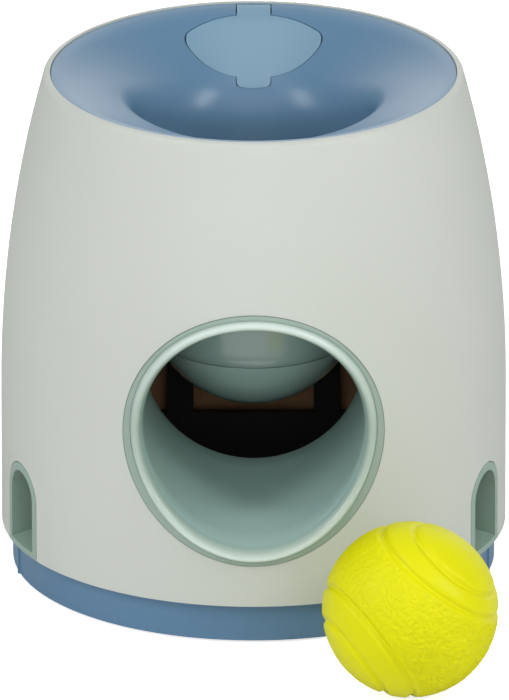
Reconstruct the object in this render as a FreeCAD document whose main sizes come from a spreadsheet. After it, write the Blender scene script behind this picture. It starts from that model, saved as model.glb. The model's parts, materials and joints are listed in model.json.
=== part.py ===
import FreeCAD, Part
import Sketcher
import math
import os
import re

# Treat puzzle for dogs: a ball dropped in the dished top tips a cup inside, rolls out of the round port and
# turns a dosing drum. The origin is on the floor, on the axis of the round body. The port faces -Y, +Z is up.

V = FreeCAD.Vector
doc = FreeCAD.newDocument("TreatPuzzle")
sheet = doc.addObject("Spreadsheet::Sheet", "Sizes")

# Driving sizes in millimetres and degrees: name, value.
SIZES = [
    # Shell: a straight skirt that bends in on a long arc up to the rim.
    ("shell_radius", 87.0), ("shell_foot", 15.0), ("shell_straight", 66.0), ("shell_bend", 420.0),
    ("shell_top", 178.0), ("shell_wall", 2.4), ("rim_round", 1.6), ("rim_arc", 2.0),
    ("rim_width", 1.9913), ("ledge_width", 2.6), ("ledge_depth", 7.0), ("ledge_thickness", 2.0),
    ("ledge_support", 5.0),
    # Screw bosses between shell and base, and lugs that carry the funnel.
    ("boss_inset", 7.0), ("boss_radius", 4.8), ("boss_azimuth", 40.0), ("boss_height", 25.0),
    ("lug_inset", 7.0), ("lug_azimuth", 45.0), ("lug_depth", 12.5), ("lug_thickness", 2.5),
    ("lug_half_width", 5.5), ("lug_root", 5.0), ("lug_reach", 11.2),
    # Small screws.
    ("screw_radius", 1.23), ("screw_pilot", 1.25), ("screw_hole", 1.5), ("screw_head", 2.4),
    ("screw_head_height", 2.0), ("screw_sink", 2.6), ("screw_grip", 10.0), ("pilot_spare", 3.0),
    ("screw_overlap", 0.5), ("funnel_screw_grip", 4.0), ("funnel_pilot", 5.0), ("frame_screw_short", 0.2),
    # Round port and its slanted lining.
    ("port_gap", 0.6), ("port_height", 75.0), ("tunnel_slope", 10.9), ("tunnel_radius", 38.0),
    ("tunnel_wall", 2.4), ("tunnel_end", 29.5), ("tunnel_cut_height", 86.0), ("tunnel_roof_end", 52.0),
    ("tunnel_roof_height", 125.0), ("lip_width", 3.6), ("lip_height", 1.0), ("lip_gap", 0.1),
    ("bead_inset", 1.2), ("bead_height", 2.5), ("bead_step", 0.9), ("bead_shoulder", 1.9),
    ("mouth_bevel", 3.8),
    ("tunnel_lug_lap", 4.5), ("tunnel_lug_reach", 2.0), ("tunnel_lug_root", 0.4), ("tunnel_lug_bottom", 72.0),
    ("tunnel_lug_top", 82.0), ("tunnel_lug_gap", 0.2), ("tunnel_screw_y", -3.0),
    # How far rods and cutters on the port's axis reach outside and inside the shell's face.
    ("port_outside", 20.0), ("port_inside", 35.0), ("lip_inside", 30.0), ("tunnel_inside", 75.0),
    ("cut_margin", 5.0), ("wide_margin", 20.0),
    # Side outlets.
    ("outlet_azimuth", 23.0), ("outlet_half", 9.0), ("outlet_frame", 2.8), ("outlet_duct_wall", 1.8),
    ("outlet_spring", 35.0), ("outlet_sill", 17.0), ("outlet_floor_slope", 9.7), ("outlet_gap", 0.3),
    ("outlet_depth", 13.7), ("outlet_flange_half", 15.0), ("outlet_flange", 2.6), ("outlet_fit", 0.2),
    ("outlet_face_depth", 4.0),
    # Base and the rubber ring under it.
    ("base_inset", 3.8), ("base_wall", 2.4), ("base_under", 1.0), ("base_floor", 2.5),
    ("base_sink", 8.0), ("rib_azimuth", 14.2), ("rib_half_width", 0.6), ("rib_proud", 0.7),
    ("rib_root", 1.0), ("grip_inset", 9.2), ("grip_width", 12.0), ("grip_depth", 1.4), ("grip_gap", 0.1),
    ("grip_bevel", 0.6),
    # Dished funnel.
    ("funnel_sunk", 0.5), ("dish_gap", 0.4), ("funnel_play", 0.2), ("funnel_wall", 2.4),
    ("dish_width", 27.4), ("throat_y", -4.0), ("throat_room", 5.0), ("lip_arc", 13.0),
    ("depth_front", 17.0), ("depth_side", 13.0), ("throat_rear", 11.0),
    ("shoulder_front", 12.0), ("shoulder_side", 6.0), ("shoulder_rear", 23.0),
    ("skirt_wall", 2.2), ("funnel_boss", 4.0),
    # Hatch lid in the rear of the funnel, on a pin at the rim.
    ("lid_thickness", 1.6), ("lid_float", 0.15), ("lid_gap", 0.35), ("lid_tilt", 44.0),
    ("lid_half_width", 24.6), ("lid_corner", 12.9), ("lid_belly_half", 18.5), ("lid_belly", 22.4),
    ("lid_front", 27.4), ("lid_tab_half", 6.2), ("lid_tab_front", 31.3), ("lid_tab_round", 2.0),
    ("lid_rear_arc", 34.1), ("lid_rear_gap", 3.6), ("lid_ledge", 1.8),
    ("lid_hinge_inset", 3.0), ("lid_hinge_depth", 1.5), ("lid_barrel", 1.5), ("lid_pin", 0.8),
    ("lid_pin_run", 0.05), ("lid_barrel_room", 0.3), ("lid_rear_tab", 5.8), ("hinge_slot_half", 6.2),
    ("hinge_block_half", 8.6), ("hinge_block_lead", 4.3), ("hinge_block_tail", 1.2),
    ("hinge_block_drop", 4.0), ("hinge_slot_drop", 2.2), ("lid_pin_half", 8.3), ("slot_above", 1.0),
    ("hinge_slot_lead", 4.0), ("lid_behind", 8.0), ("hatch_reach", 20.0),
    # Tipping cup and its axle.
    ("axle_behind", 6.0), ("axle_z", 94.5), ("axle_radius", 2.5), ("running_fit", 0.05), ("press_gap", 0.02),
    ("cup_radius", 36.5), ("cup_wall", 2.0), ("cup_above", 2.0), ("cup_collar", 5.5),
    ("cup_boss", 5.0), ("cup_boss_root", 1.9), ("cup_boss_reach", 3.0), ("trunnion_lead", 0.1),
    ("bush_radius", 4.5), ("bush_flange", 6.0), ("bush_play", 0.3), ("bush_recess", 0.1),
    # Parallel linkage from the cup to the drum.
    ("crank", 10.0), ("crank_angle", -154.4), ("pivot_radius", 1.5), ("pivot_clearance", 0.3),
    ("pivot_head", 2.6), ("pivot_head_height", 1.0), ("pivot_head_gap", 0.4),
    ("lever_gap", 1.0), ("lever_thickness", 3.0), ("link_gap", 0.5), ("link_thickness", 2.5),
    ("hub_radius", 5.0), ("eye_radius", 4.0), ("arm_half", 3.0),
    # Dosing drum.
    ("drum_share", 0.68), ("drum_z", 72.0), ("drum_radius", 12.0), ("drum_half", 22.6),
    ("pocket_angle", -35.0), ("pocket_half", 6.0), ("pocket_half_length", 18.0), ("pocket_floor", 4.0),
    ("pocket_margin", 2.0),
    ("drum_axle_spare", 1.7),
    # Counterweight on the other side of the cup.
    ("weight_arm", 24.0), ("weight_radius", 7.0), ("weight_length", 10.0), ("weight_stud", 2.0),
    ("weight_overlap", 1.0),
    # Black frame that carries the cup and shows behind it.
    ("plate_room", 1.5), ("plate_thickness", 3.0), ("plate_front", -8.0), ("plate_leg_rear", 20.0),
    ("plate_above", 9.0), ("plate_step", 13.0), ("arm_root", 64.0), ("arm_spare", 0.5),
    ("arm_margin", 3.0), ("frame_foot", 8.0), ("foot_plate", 2.5),
    ("panel_inset", 0.9), ("panel_thickness", 3.5), ("panel_half", 34.0), ("panel_sill", 40.2),
    ("panel_shoulder", 2.0), ("post_overlap", 1.0),
    ("post_inner", 20.8), ("post_outer", 30.0), ("bar_bottom", 118.0), ("bar_height", 8.0),
    ("frame_boss", 4.0), ("frame_screw_x", 38.0), ("frame_screw_y", -2.0),
    ("frame_screw_rear_x", 30.0), ("frame_screw_rear_y", 26.0), ("frame_screw_sink", 5.0),
    # Treat hopper over the drum.
    ("hopper_half", 33.0), ("hopper_gap", 0.6), ("hopper_room", 5.9), ("hopper_inset", 3.8),
    ("hopper_rise", 13.0), ("hopper_wall", 1.8), ("hopper_shoulder", 100.0), ("neck_rise", 12.0),
    ("neck_drop", 12.0), ("drum_end_gap", 0.4), ("drum_side_gap", 0.4), ("gate_drop", 1.0),
    ("ear_lead", 1.0), ("ear_width", 7.5), ("ear_bottom", 87.0), ("ear_top", 107.0), ("ear_root", 1.0),
    ("ear_web_bottom", 101.0), ("ear_web", 2.4), ("ear_screw_lead", 4.0), ("ear_screw_low", 90.5),
    ("ear_screw_high", 104.6), ("drum_bush_flange", 1.5),
    # Treat ramp: a crescent that falls to both outlets.
    ("ramp_room", 0.6327), ("ramp_inset", 13.2), ("ramp_outer_y", 2.0), ("ramp_wall", 1.8),
    ("ramp_slope", 17.2), ("ramp_fall", 57.8), ("ramp_low_inset", 5.8), ("ramp_low_y", -29.0),
    ("ramp_low_z", 19.6), ("ramp_guard", 12.0), ("ramp_top", 57.4), ("ramp_end_lead", 0.5),
    ("ramp_mouth_depth", 6.0), ("ramp_far", 30.0),
    # Ball beside the toy.
    ("ball_radius", 30.0), ("ball_x", 53.2), ("ball_y", -127.0), ("seam_radius", 1.1),
    ("seam_low_azimuth", -157.0), ("seam_low_tilt", -32.5), ("seam_high_azimuth", 0.0),
    ("seam_high_tilt", 52.5), ("seam_inner", 17.5), ("seam_outer", 24.6),
]

for row, (name, value) in enumerate(SIZES, start=1):
    sheet.set("A%d" % row, name)
    sheet.set("B%d" % row, str(value))
    sheet.setAlias("B%d" % row, name)
ALIASES = {name for name, value in SIZES}

# Sizes that follow from the driving ones.
DERIVED = {
    # Round the shell's rim and foot.
    "rim_radius": "shell_radius - shell_bend + sqrt(shell_bend^2 - (shell_top - shell_straight)^2)",
    "rim_ring_radius": "rim_radius - rim_width",
    "ledge_radius": "rim_ring_radius - ledge_width",
    "ledge_top": "shell_top - ledge_depth",
    "boss_circle": "shell_radius - boss_inset",
    "lug_circle": "rim_ring_radius - lug_inset",
    "lug_inner": "lug_circle - lug_root",
    "lug_outer": "lug_circle + lug_reach",
    "lug_top": "funnel_top - lug_depth",
    "lug_bottom": "lug_top - lug_thickness",
    "base_radius": "shell_radius - base_inset",
    "grip_outer": "base_radius - grip_inset",
    "grip_inner": "grip_outer - grip_width",
    "outlet_inner": "shell_radius - outlet_depth",
    # Port and lining.
    "tunnel_outer": "tunnel_radius + tunnel_wall",
    "port_radius": "tunnel_outer + port_gap",
    "lip_radius": "port_radius + lip_width",
    "bead_radius": "lip_radius - bead_inset",
    "tunnel_lug_start": "tunnel_end + tunnel_lug_lap",
    # Funnel and hatch.
    "funnel_seat": "ledge_top",
    "funnel_top": "shell_top - funnel_sunk",
    "funnel_radius": "rim_ring_radius - dish_gap",
    "funnel_edge": "rim_ring_radius - funnel_play",
    "throat_radius": "funnel_radius - dish_width",
    "throat_bottom": "bar_top + throat_room",
    "depth_rear": "funnel_top - throat_bottom - throat_rear",
    "lid_hinge_y": "rim_ring_radius - lid_hinge_inset",
    "lid_hinge_z": "funnel_top - lid_hinge_depth",
    "lid_rear": "lid_hinge_y - lid_rear_gap",
    "hinge_block_front": "lid_hinge_y - hinge_block_lead",
    "hinge_block_rear": "lid_hinge_y + hinge_block_tail",
    "hinge_block_bottom": "lid_hinge_z - hinge_block_drop",
    "hinge_slot_floor": "lid_hinge_z - hinge_slot_drop",
    # Cup, frame and linkage.
    "cup_y": "throat_y",
    "cup_z": "axle_z + cup_above",
    "axle_y": "cup_y + axle_behind",
    "cup_boss_start": "cup_radius - cup_boss_root",
    "cup_boss_end": "cup_radius + cup_boss_reach",
    "trunnion_start": "cup_radius + trunnion_lead",
    "plate_inside": "max(tunnel_outer + port_gap; cup_boss_end + plate_room)",
    "plate_top": "axle_z + plate_above",
    "panel_front": "cup_y + cup_radius - panel_inset",
    "panel_rear": "panel_front + panel_thickness",
    "bar_top": "bar_bottom + bar_height",
    "arm_end": "ear_rear + arm_spare",
    "arm_bottom": "ear_bottom - arm_margin",
    "arm_top": "ear_top + arm_margin",
    "floor_top": "base_under + base_floor",
    "plate_outside": "plate_inside + plate_thickness",
    "lever_inside": "plate_outside + lever_gap",
    "lever_outside": "lever_inside + lever_thickness",
    "link_inside": "lever_outside + link_gap",
    "link_outside": "link_inside + link_thickness",
    "pin_y": "axle_y + crank * cos(crank_angle)",
    "pin_z": "axle_z + crank * sin(crank_angle)",
    "drum_pin_y": "drum_y + crank * cos(crank_angle)",
    "drum_pin_z": "drum_z + crank * sin(crank_angle)",
    "link_angle": "atan2(drum_z - axle_z; drum_y - axle_y)",
    "outlet_outer": "outlet_half + outlet_frame",
    "drum_side": "drum_radius + drum_side_gap",
    "drum_end": "drum_half + drum_end_gap",
    "foot_top": "frame_foot + foot_plate",
    "grip_rise": "base_under + grip_depth",
    "lid_rear_centre": "lid_rear - lid_rear_arc",
    # Hopper, drum and ramp.
    "hopper_front": "max(throat_y + throat_radius + funnel_wall + hopper_gap; panel_rear + hopper_room)",
    "hopper_rear": "rim_ring_radius - hopper_inset",
    "hopper_top": "throat_bottom + hopper_rise",
    "hopper_neck": "drum_z + neck_rise",
    "hopper_bottom": "drum_z - neck_drop",
    "gate_height": "drum_z - gate_drop",
    "drum_y": "hopper_front + (hopper_rear - hopper_front) * drum_share",
    "drum_axle_end": "drum_end + hopper_wall + drum_bush_flange + drum_axle_spare",
    "ear_front": "hopper_front + ear_lead",
    "ear_rear": "ear_front + ear_width",
    "ear_screw_y": "ear_front + ear_screw_lead",
    "ramp_inner": "sqrt(panel_half^2 + panel_rear^2) + ramp_room",
    "ramp_outer": "shell_radius - ramp_inset",
    "ramp_low_x": "ramp_outer - ramp_low_inset",
}


def opened(text, prefix):
    """An expression with derived names written out and sheet names addressed."""
    def word(match):
        found = match.group(0)
        if found in DERIVED:
            return "(" + opened(DERIVED[found], prefix) + ")"
        return prefix + found if found in ALIASES else found
    return re.sub(r"[A-Za-z_]\w*", word, str(text))


def num(text):
    """The value of an expression, as a number."""
    value = sheet.evalExpression(opened(text, ""))
    return float(getattr(value, "Value", value))


def bind(thing, prop, text):
    """Tie one property of an object to an expression of the sheet."""
    thing.setExpression(prop, opened(text, "Sizes."))


def place(thing, x, y, z):
    """Tie an object's place to three expressions."""
    for axis, text in zip("xyz", (x, y, z)):
        bind(thing, "Placement.Base." + axis, text)


def block(name, x, y, z, turn=None):
    """A box between pairs of expressions, turned about the Z axis of the origin when asked."""
    box = doc.addObject("Part::Box", name)
    for prop, (low, high) in zip(("Length", "Width", "Height"), (x, y, z)):
        bind(box, prop, "(%s) - (%s)" % (high, low))
    if turn is None:
        place(box, x[0], y[0], z[0])
        return box
    box.Placement = FreeCAD.Placement(V(), FreeCAD.Rotation(V(0, 0, 1), 10))
    bind(box, "Placement.Rotation.Angle", turn)
    place(box, "(%s) * cos(%s) - (%s) * sin(%s)" % (x[0], turn, y[0], turn),
          "(%s) * sin(%s) + (%s) * cos(%s)" % (x[0], turn, y[0], turn), z[0])
    return box


AXIS_TURNS = {
    "x": FreeCAD.Rotation(V(0, 1, 0), 90),
    "y": FreeCAD.Rotation(V(1, 0, 0), -90),
    "z": FreeCAD.Rotation(),
}


def rod(name, axis, radius, centre, start, end):
    """A cylinder along X, Y or Z; centre gives its other two coordinates."""
    body = doc.addObject("Part::Cylinder", name)
    bind(body, "Radius", radius)
    bind(body, "Height", "(%s) - (%s)" % (end, start))
    body.Placement = FreeCAD.Placement(V(), AXIS_TURNS[axis])
    a, b = centre
    place(body, *{"x": (start, a, b), "y": (a, start, b), "z": (a, b, start)}[axis])
    return body


def at_azimuth(radius, azimuth):
    """Plan coordinates of a point at a radius and an azimuth from +X."""
    return "%s * cos(%s)" % (radius, azimuth), "%s * sin(%s)" % (radius, azimuth)


def joined(name, parts):
    """The union of several objects; solids that don't touch stay separate."""
    whole = doc.addObject("Part::MultiFuse", name)
    whole.Shapes = parts
    return whole


def common(name, parts):
    """The space that all the objects share."""
    shared = doc.addObject("Part::MultiCommon", name)
    shared.Shapes = parts
    return shared


def cut(name, base, tools):
    """An object with one or more others taken away."""
    result = doc.addObject("Part::Cut", name)
    result.Base = base
    result.Tool = tools[0] if len(tools) == 1 else joined(name + "_tools", tools)
    return result


def mirrored(name, source):
    """The same shape on the other side of the YZ plane."""
    copy = doc.addObject("Part::Mirroring", name)
    copy.Source = source
    copy.Normal = V(1, 0, 0)
    return copy


def pair(name, right):
    """A shape and its mirror image, as two separate solids or one joined one."""
    return joined(name, [right, mirrored(name + "_left", right)])


def sketch_on(body, role, points, arcs=None):
    """A closed profile in a body; arcs gives a radius and a side for the edge after a point."""
    arcs = arcs or {}
    plane = [part for part in body.Origin.OriginFeatures if part.Role == role][0]
    sketch = body.newObject("Sketcher::SketchObject", body.Name + "_profile")
    sketch.AttachmentSupport = [(plane, "")]
    sketch.MapMode = "FlatFace"
    corners = [V(num(u), num(w), 0) for u, w in points]
    ends = []
    for i, start in enumerate(corners):
        stop = corners[(i + 1) % len(corners)]
        if i not in arcs:
            sketch.addGeometry(Part.LineSegment(start, stop), False)
            ends.append((1, 2))
            continue
        radius, side = num(arcs[i][0]), arcs[i][1]
        chord = stop - start
        half = chord.Length / 2
        rise = radius - math.sqrt(radius * radius - half * half)
        middle = start + chord * 0.5 + V(-chord.y, chord.x, 0) * (side * rise / chord.Length)
        if side < 0:
            sketch.addGeometry(Part.Arc(start, middle, stop), False)
            ends.append((1, 2))
        else:
            sketch.addGeometry(Part.Arc(stop, middle, start), False)
            ends.append((2, 1))
        k = sketch.addConstraint(Sketcher.Constraint("Radius", i, radius))
        bind(sketch, "Constraints[%d]" % k, arcs[i][0])
    for i in range(len(corners)):
        following = (i + 1) % len(corners)
        sketch.addConstraint(Sketcher.Constraint("Coincident", i, ends[i][1], following, ends[following][0]))
    for i, (u, w) in enumerate(points):
        for kind, text in (("DistanceX", u), ("DistanceY", w)):
            k = sketch.addConstraint(Sketcher.Constraint(kind, -1, 1, i, ends[i][0], num(text)))
            bind(sketch, "Constraints[%d]" % k, text)
    return sketch


def turned(name, points, arcs=None):
    """A profile of radius and height, revolved about the Z axis."""
    body = doc.addObject("PartDesign::Body", name)
    sketch = sketch_on(body, "XZ_Plane", points, arcs)
    spin = body.newObject("PartDesign::Revolution", name + "_turn")
    spin.Profile = sketch
    spin.ReferenceAxis = (sketch, ["V_Axis"])
    spin.Angle = 360
    return body


def slab(name, across, points, start, end):
    """A profile in the YZ plane (across x) or the XZ plane (across y), with a thickness from start to end."""
    body = doc.addObject("PartDesign::Body", name)
    sketch = sketch_on(body, {"x": "YZ_Plane", "y": "XZ_Plane"}[across], points)
    offset = start if across == "x" else "0 - (%s)" % end
    bind(sketch, "AttachmentOffset.Base.z", offset)
    pad = body.newObject("PartDesign::Pad", name + "_pad")
    pad.Profile = sketch
    bind(pad, "Length", "(%s) - (%s)" % (end, start))
    return body


def bar(name, start, end, angle, half, inner, outer):
    """A straight bar between two points of the YZ plane, at an angle from +Y."""
    side_y = "%s * sin(%s)" % (half, angle)
    side_z = "%s * cos(%s)" % (half, angle)
    points = [("%s - %s" % (start[0], side_y), "%s + %s" % (start[1], side_z)),
              ("%s + %s" % (start[0], side_y), "%s - %s" % (start[1], side_z)),
              ("%s + %s" % (end[0], side_y), "%s - %s" % (end[1], side_z)),
              ("%s - %s" % (end[0], side_y), "%s + %s" % (end[1], side_z))]
    return slab(name, "x", points, inner, outer)


def shell_skin(offset, height):
    """The shell's outer radius at a height, moved out by an offset."""
    return ("shell_radius - shell_bend + sqrt((shell_bend + %s)^2 - (%s - shell_straight)^2)"
            % (offset, height))


# Openings: an upright arch for the outlets and a slanted rod for the port.

def make_arch(name, half, spring, bottom, start, end, turn):
    """An upright arch along +X, turned to its azimuth: a block under a half round."""
    foot = block(name + "_legs", (start, end), ("0 - (%s)" % half, half), (bottom, spring))
    crown = rod(name + "_crown", "x", half, ("0", spring), start, end)
    arch = joined(name, [foot, crown])
    arch.Placement = FreeCAD.Placement(V(), FreeCAD.Rotation(V(0, 0, 1), 10))
    bind(arch, "Placement.Rotation.Angle", turn)
    return arch


def slanted_rod(name, radius, before, after):
    """A cylinder on the port's slanted axis, from before to after the shell's face."""
    body = doc.addObject("Part::Cylinder", name)
    bind(body, "Radius", radius)
    bind(body, "Height", "%s + %s" % (before, after))
    body.Placement = FreeCAD.Placement(V(), FreeCAD.Rotation(V(-1, 0, 0), 10))
    bind(body, "Placement.Rotation.Angle", "90 - tunnel_slope")
    place(body, "0", "0 - shell_radius - (%s) * cos(tunnel_slope)" % before,
          "port_height - (%s) * sin(tunnel_slope)" % before)
    return body


# Shell: moulded grey body with the port, two outlet notches, screw bosses and funnel lugs.

BOSS_TURNS = ["boss_azimuth", "180 - boss_azimuth", "180 + boss_azimuth", "0 - boss_azimuth"]
LUG_TURNS = ["lug_azimuth", "180 - lug_azimuth", "180 + lug_azimuth", "0 - lug_azimuth"]


def make_shell():
    ledge_bottom = "ledge_top - ledge_thickness"
    support = "ledge_top - ledge_thickness - ledge_support"
    round_start = "shell_top - rim_round"
    points = [
        ("shell_radius", "shell_foot"), ("shell_radius", "shell_straight"),
        (shell_skin("0", round_start), round_start),
        (shell_skin("0", "shell_top") + " - rim_round", "shell_top"),
        ("rim_ring_radius", "shell_top"), ("rim_ring_radius", "ledge_top"), ("ledge_radius", "ledge_top"),
        ("ledge_radius", ledge_bottom), (shell_skin("0 - shell_wall", "(%s)" % support), support),
        ("shell_radius - shell_wall", "shell_straight"), ("shell_radius - shell_wall", "shell_foot")]
    arcs = {1: ("shell_bend", -1), 2: ("rim_arc", -1), 8: ("shell_bend - shell_wall", 1)}
    wall = turned("shell_wall_body", points, arcs)
    bosses = [rod("shell_boss_%d" % i, "z", "boss_radius", at_azimuth("boss_circle", "(%s)" % a),
                  "shell_foot", "shell_foot + boss_height") for i, a in enumerate(BOSS_TURNS)]
    pilots = [rod("shell_pilot_%d" % i, "z", "screw_pilot", at_azimuth("boss_circle", "(%s)" % a),
                  "shell_foot", "shell_foot + screw_grip + pilot_spare") for i, a in enumerate(BOSS_TURNS)]
    lugs = [block("shell_lug_%d" % i, ("lug_inner", "lug_outer"), ("0 - lug_half_width", "lug_half_width"),
                  ("lug_bottom", "lug_top"), "(%s)" % a) for i, a in enumerate(LUG_TURNS)]
    lug_holes = [rod("lug_hole_%d" % i, "z", "screw_hole", at_azimuth("lug_circle", "(%s)" % a),
                     "lug_bottom", "lug_top") for i, a in enumerate(LUG_TURNS)]
    notch = make_arch("outlet_notch", "outlet_outer + outlet_gap", "outlet_spring", "shell_foot",
                      "outlet_inner", "shell_radius + cut_margin", "0 - outlet_azimuth")
    port = slanted_rod("port_hole", "port_radius", "port_outside", "port_inside")
    body = joined("shell_whole", [wall] + bosses + lugs)
    return cut("outer_shell", body, pilots + lug_holes + [port, notch, mirrored("outlet_notch_left", notch)])


# Port lining: a slanted tube whose lip lies on the round shell.

def skin_layer(name, inner, outer, top):
    """A thin revolved layer that follows the shell's outer face between two offsets."""
    points = [("shell_radius + " + inner, "shell_foot"), ("shell_radius + " + outer, "shell_foot"),
              ("shell_radius + " + outer, "shell_straight"), (shell_skin(outer, top), top),
              (shell_skin(inner, top), top), ("shell_radius + " + inner, "shell_straight")]
    arcs = {2: ("shell_bend + " + outer, -1), 4: ("shell_bend + " + inner, 1)}
    return turned(name, points, arcs)


def skin_core(name, outer, top):
    """Everything inside the shell's outer face, moved out by an offset."""
    points = [("0", "shell_foot"), ("shell_radius + " + outer, "shell_foot"),
              ("shell_radius + " + outer, "shell_straight"), (shell_skin(outer, top), top), ("0", top)]
    return turned(name, points, {2: ("shell_bend + " + outer, -1)})


def mouth_edges(shape):
    """Numbers of the edges in which the bore comes out of the lip."""
    slope = math.radians(num("tunnel_slope"))
    middle = V(0, -num("shell_radius"), num("port_height"))
    along = V(0, math.cos(slope), math.sin(slope))
    found = []
    for number, edge in enumerate(shape.Edges, start=1):
        first, last = edge.FirstParameter, edge.LastParameter
        arms = [edge.valueAt(first + (last - first) * k / 8) - middle for k in range(9)]
        on_bore = all(abs(arm.cross(along).Length - num("tunnel_radius")) < 0.01 for arm in arms)
        if on_bore and all(arm.dot(along) < num("lip_inside") for arm in arms):
            found.append(number)
    return found


def make_tunnel():
    top = "tunnel_roof_height + cut_margin"
    lip = common("tunnel_lip", [slanted_rod("lip_rod", "lip_radius", "port_outside", "lip_inside"),
                                skin_layer("lip_layer", "lip_gap", "lip_height", top)])
    shoulder = common("tunnel_bead_foot", [slanted_rod("bead_rod", "bead_radius", "port_outside", "lip_inside"),
                                           skin_layer("bead_layer", "lip_gap", "bead_shoulder", top)])
    crest_rod = slanted_rod("crest_rod", "bead_radius - bead_step", "port_outside", "lip_inside")
    crest = common("tunnel_bead_crest", [crest_rod, skin_layer("crest_layer", "lip_gap", "bead_height", top)])
    tube = common("tunnel_tube", [slanted_rod("tube_rod", "tunnel_outer", "port_outside", "tunnel_inside"),
                                  skin_core("tube_core", "lip_height", top)])
    bore = slanted_rod("tunnel_bore", "tunnel_radius", "port_outside + cut_margin",
                       "tunnel_inside + wide_margin")
    high = "2 * tunnel_roof_height - tunnel_cut_height"
    side = "tunnel_outer + wide_margin"
    rear = slab("tunnel_rear_cut", "x", [
        ("0 - tunnel_end", "0"), ("wide_margin", "0"), ("wide_margin", high),
        ("tunnel_end - 2 * tunnel_roof_end", high), ("0 - tunnel_end", "tunnel_cut_height")],
        "0 - (%s)" % side, side)
    lined = cut("tunnel_lined", joined("tunnel_whole", [lip, shoulder, crest, tube]), [bore, rear])
    doc.recompute()
    bevelled = doc.addObject("Part::Chamfer", "tunnel_mouth")
    bevelled.Base = lined
    bevelled.Edges = [(k, num("mouth_bevel"), num("mouth_bevel")) for k in mouth_edges(lined.Shape)]
    lug = block("tunnel_lug", ("tunnel_radius + tunnel_lug_root", "plate_inside - tunnel_lug_gap"),
                ("0 - tunnel_lug_start", "tunnel_lug_reach"), ("tunnel_lug_bottom", "tunnel_lug_top"))
    hole = rod("tunnel_lug_hole", "x", "screw_pilot",
               ("tunnel_screw_y", "(tunnel_lug_bottom + tunnel_lug_top) / 2"),
               "plate_inside - tunnel_lug_gap - tunnel_wall", "plate_inside - tunnel_lug_gap")
    lugs = pair("tunnel_lugs", cut("tunnel_lug_drilled", lug, [hole]))
    return joined("exit_tunnel", [bevelled, lugs])


# Outlets: arched ducts that clip behind the shell and stand on the base's wall.

def make_right_outlet():
    turn = "0"
    frame = common("outlet_face", [
        make_arch("outlet_face_arch", "outlet_outer", "outlet_spring", "shell_foot",
                  "shell_radius - shell_wall - outlet_face_depth", "shell_radius + cut_margin", turn),
        rod("outlet_face_round", "z", "shell_radius", ("0", "0"), "shell_foot", "outlet_spring + wide_margin")])
    duct = make_arch("outlet_duct", "outlet_half + outlet_duct_wall", "outlet_spring", "shell_foot",
                     "outlet_inner", "shell_radius - shell_wall", turn)
    flange = common("outlet_flange_plate", [
        make_arch("outlet_flange_arch", "outlet_flange_half", "outlet_spring", "shell_foot",
                  "shell_radius - shell_wall - outlet_fit - outlet_flange", "shell_radius - shell_wall", turn),
        rod("outlet_flange_round", "z", "shell_radius - shell_wall - outlet_fit", ("0", "0"),
            "shell_foot", "outlet_spring + wide_margin")])
    passage = common("outlet_passage", [
        make_arch("outlet_passage_arch", "outlet_half", "outlet_spring", "shell_foot",
                  "outlet_inner - cut_margin", "shell_radius + cut_margin", turn),
        slab("outlet_passage_floor", "y", [
            ("outlet_inner - cut_margin",
             "outlet_sill + (shell_radius - outlet_inner + cut_margin) * tan(outlet_floor_slope)"),
            ("shell_radius + cut_margin", "outlet_sill - cut_margin * tan(outlet_floor_slope)"),
            ("shell_radius + cut_margin", "outlet_spring + wide_margin"),
            ("outlet_inner - cut_margin", "outlet_spring + wide_margin")], "0 - wide_margin", "wide_margin")])
    outlet = cut("right_outlet", joined("outlet_whole", [frame, duct, flange]), [passage])
    outlet.Placement = FreeCAD.Placement(V(), FreeCAD.Rotation(V(0, 0, 1), 10))
    bind(outlet, "Placement.Rotation.Angle", "0 - outlet_azimuth")
    return outlet


# Base: blue foot with screw bosses and a groove for the rubber ring.

def frame_screw_places():
    """Plan places of the four screws that hold the frame."""
    return [("frame_screw_x", "frame_screw_y"), ("0 - frame_screw_x", "frame_screw_y"),
            ("frame_screw_rear_x", "frame_screw_rear_y"), ("0 - frame_screw_rear_x", "frame_screw_rear_y")]


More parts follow.
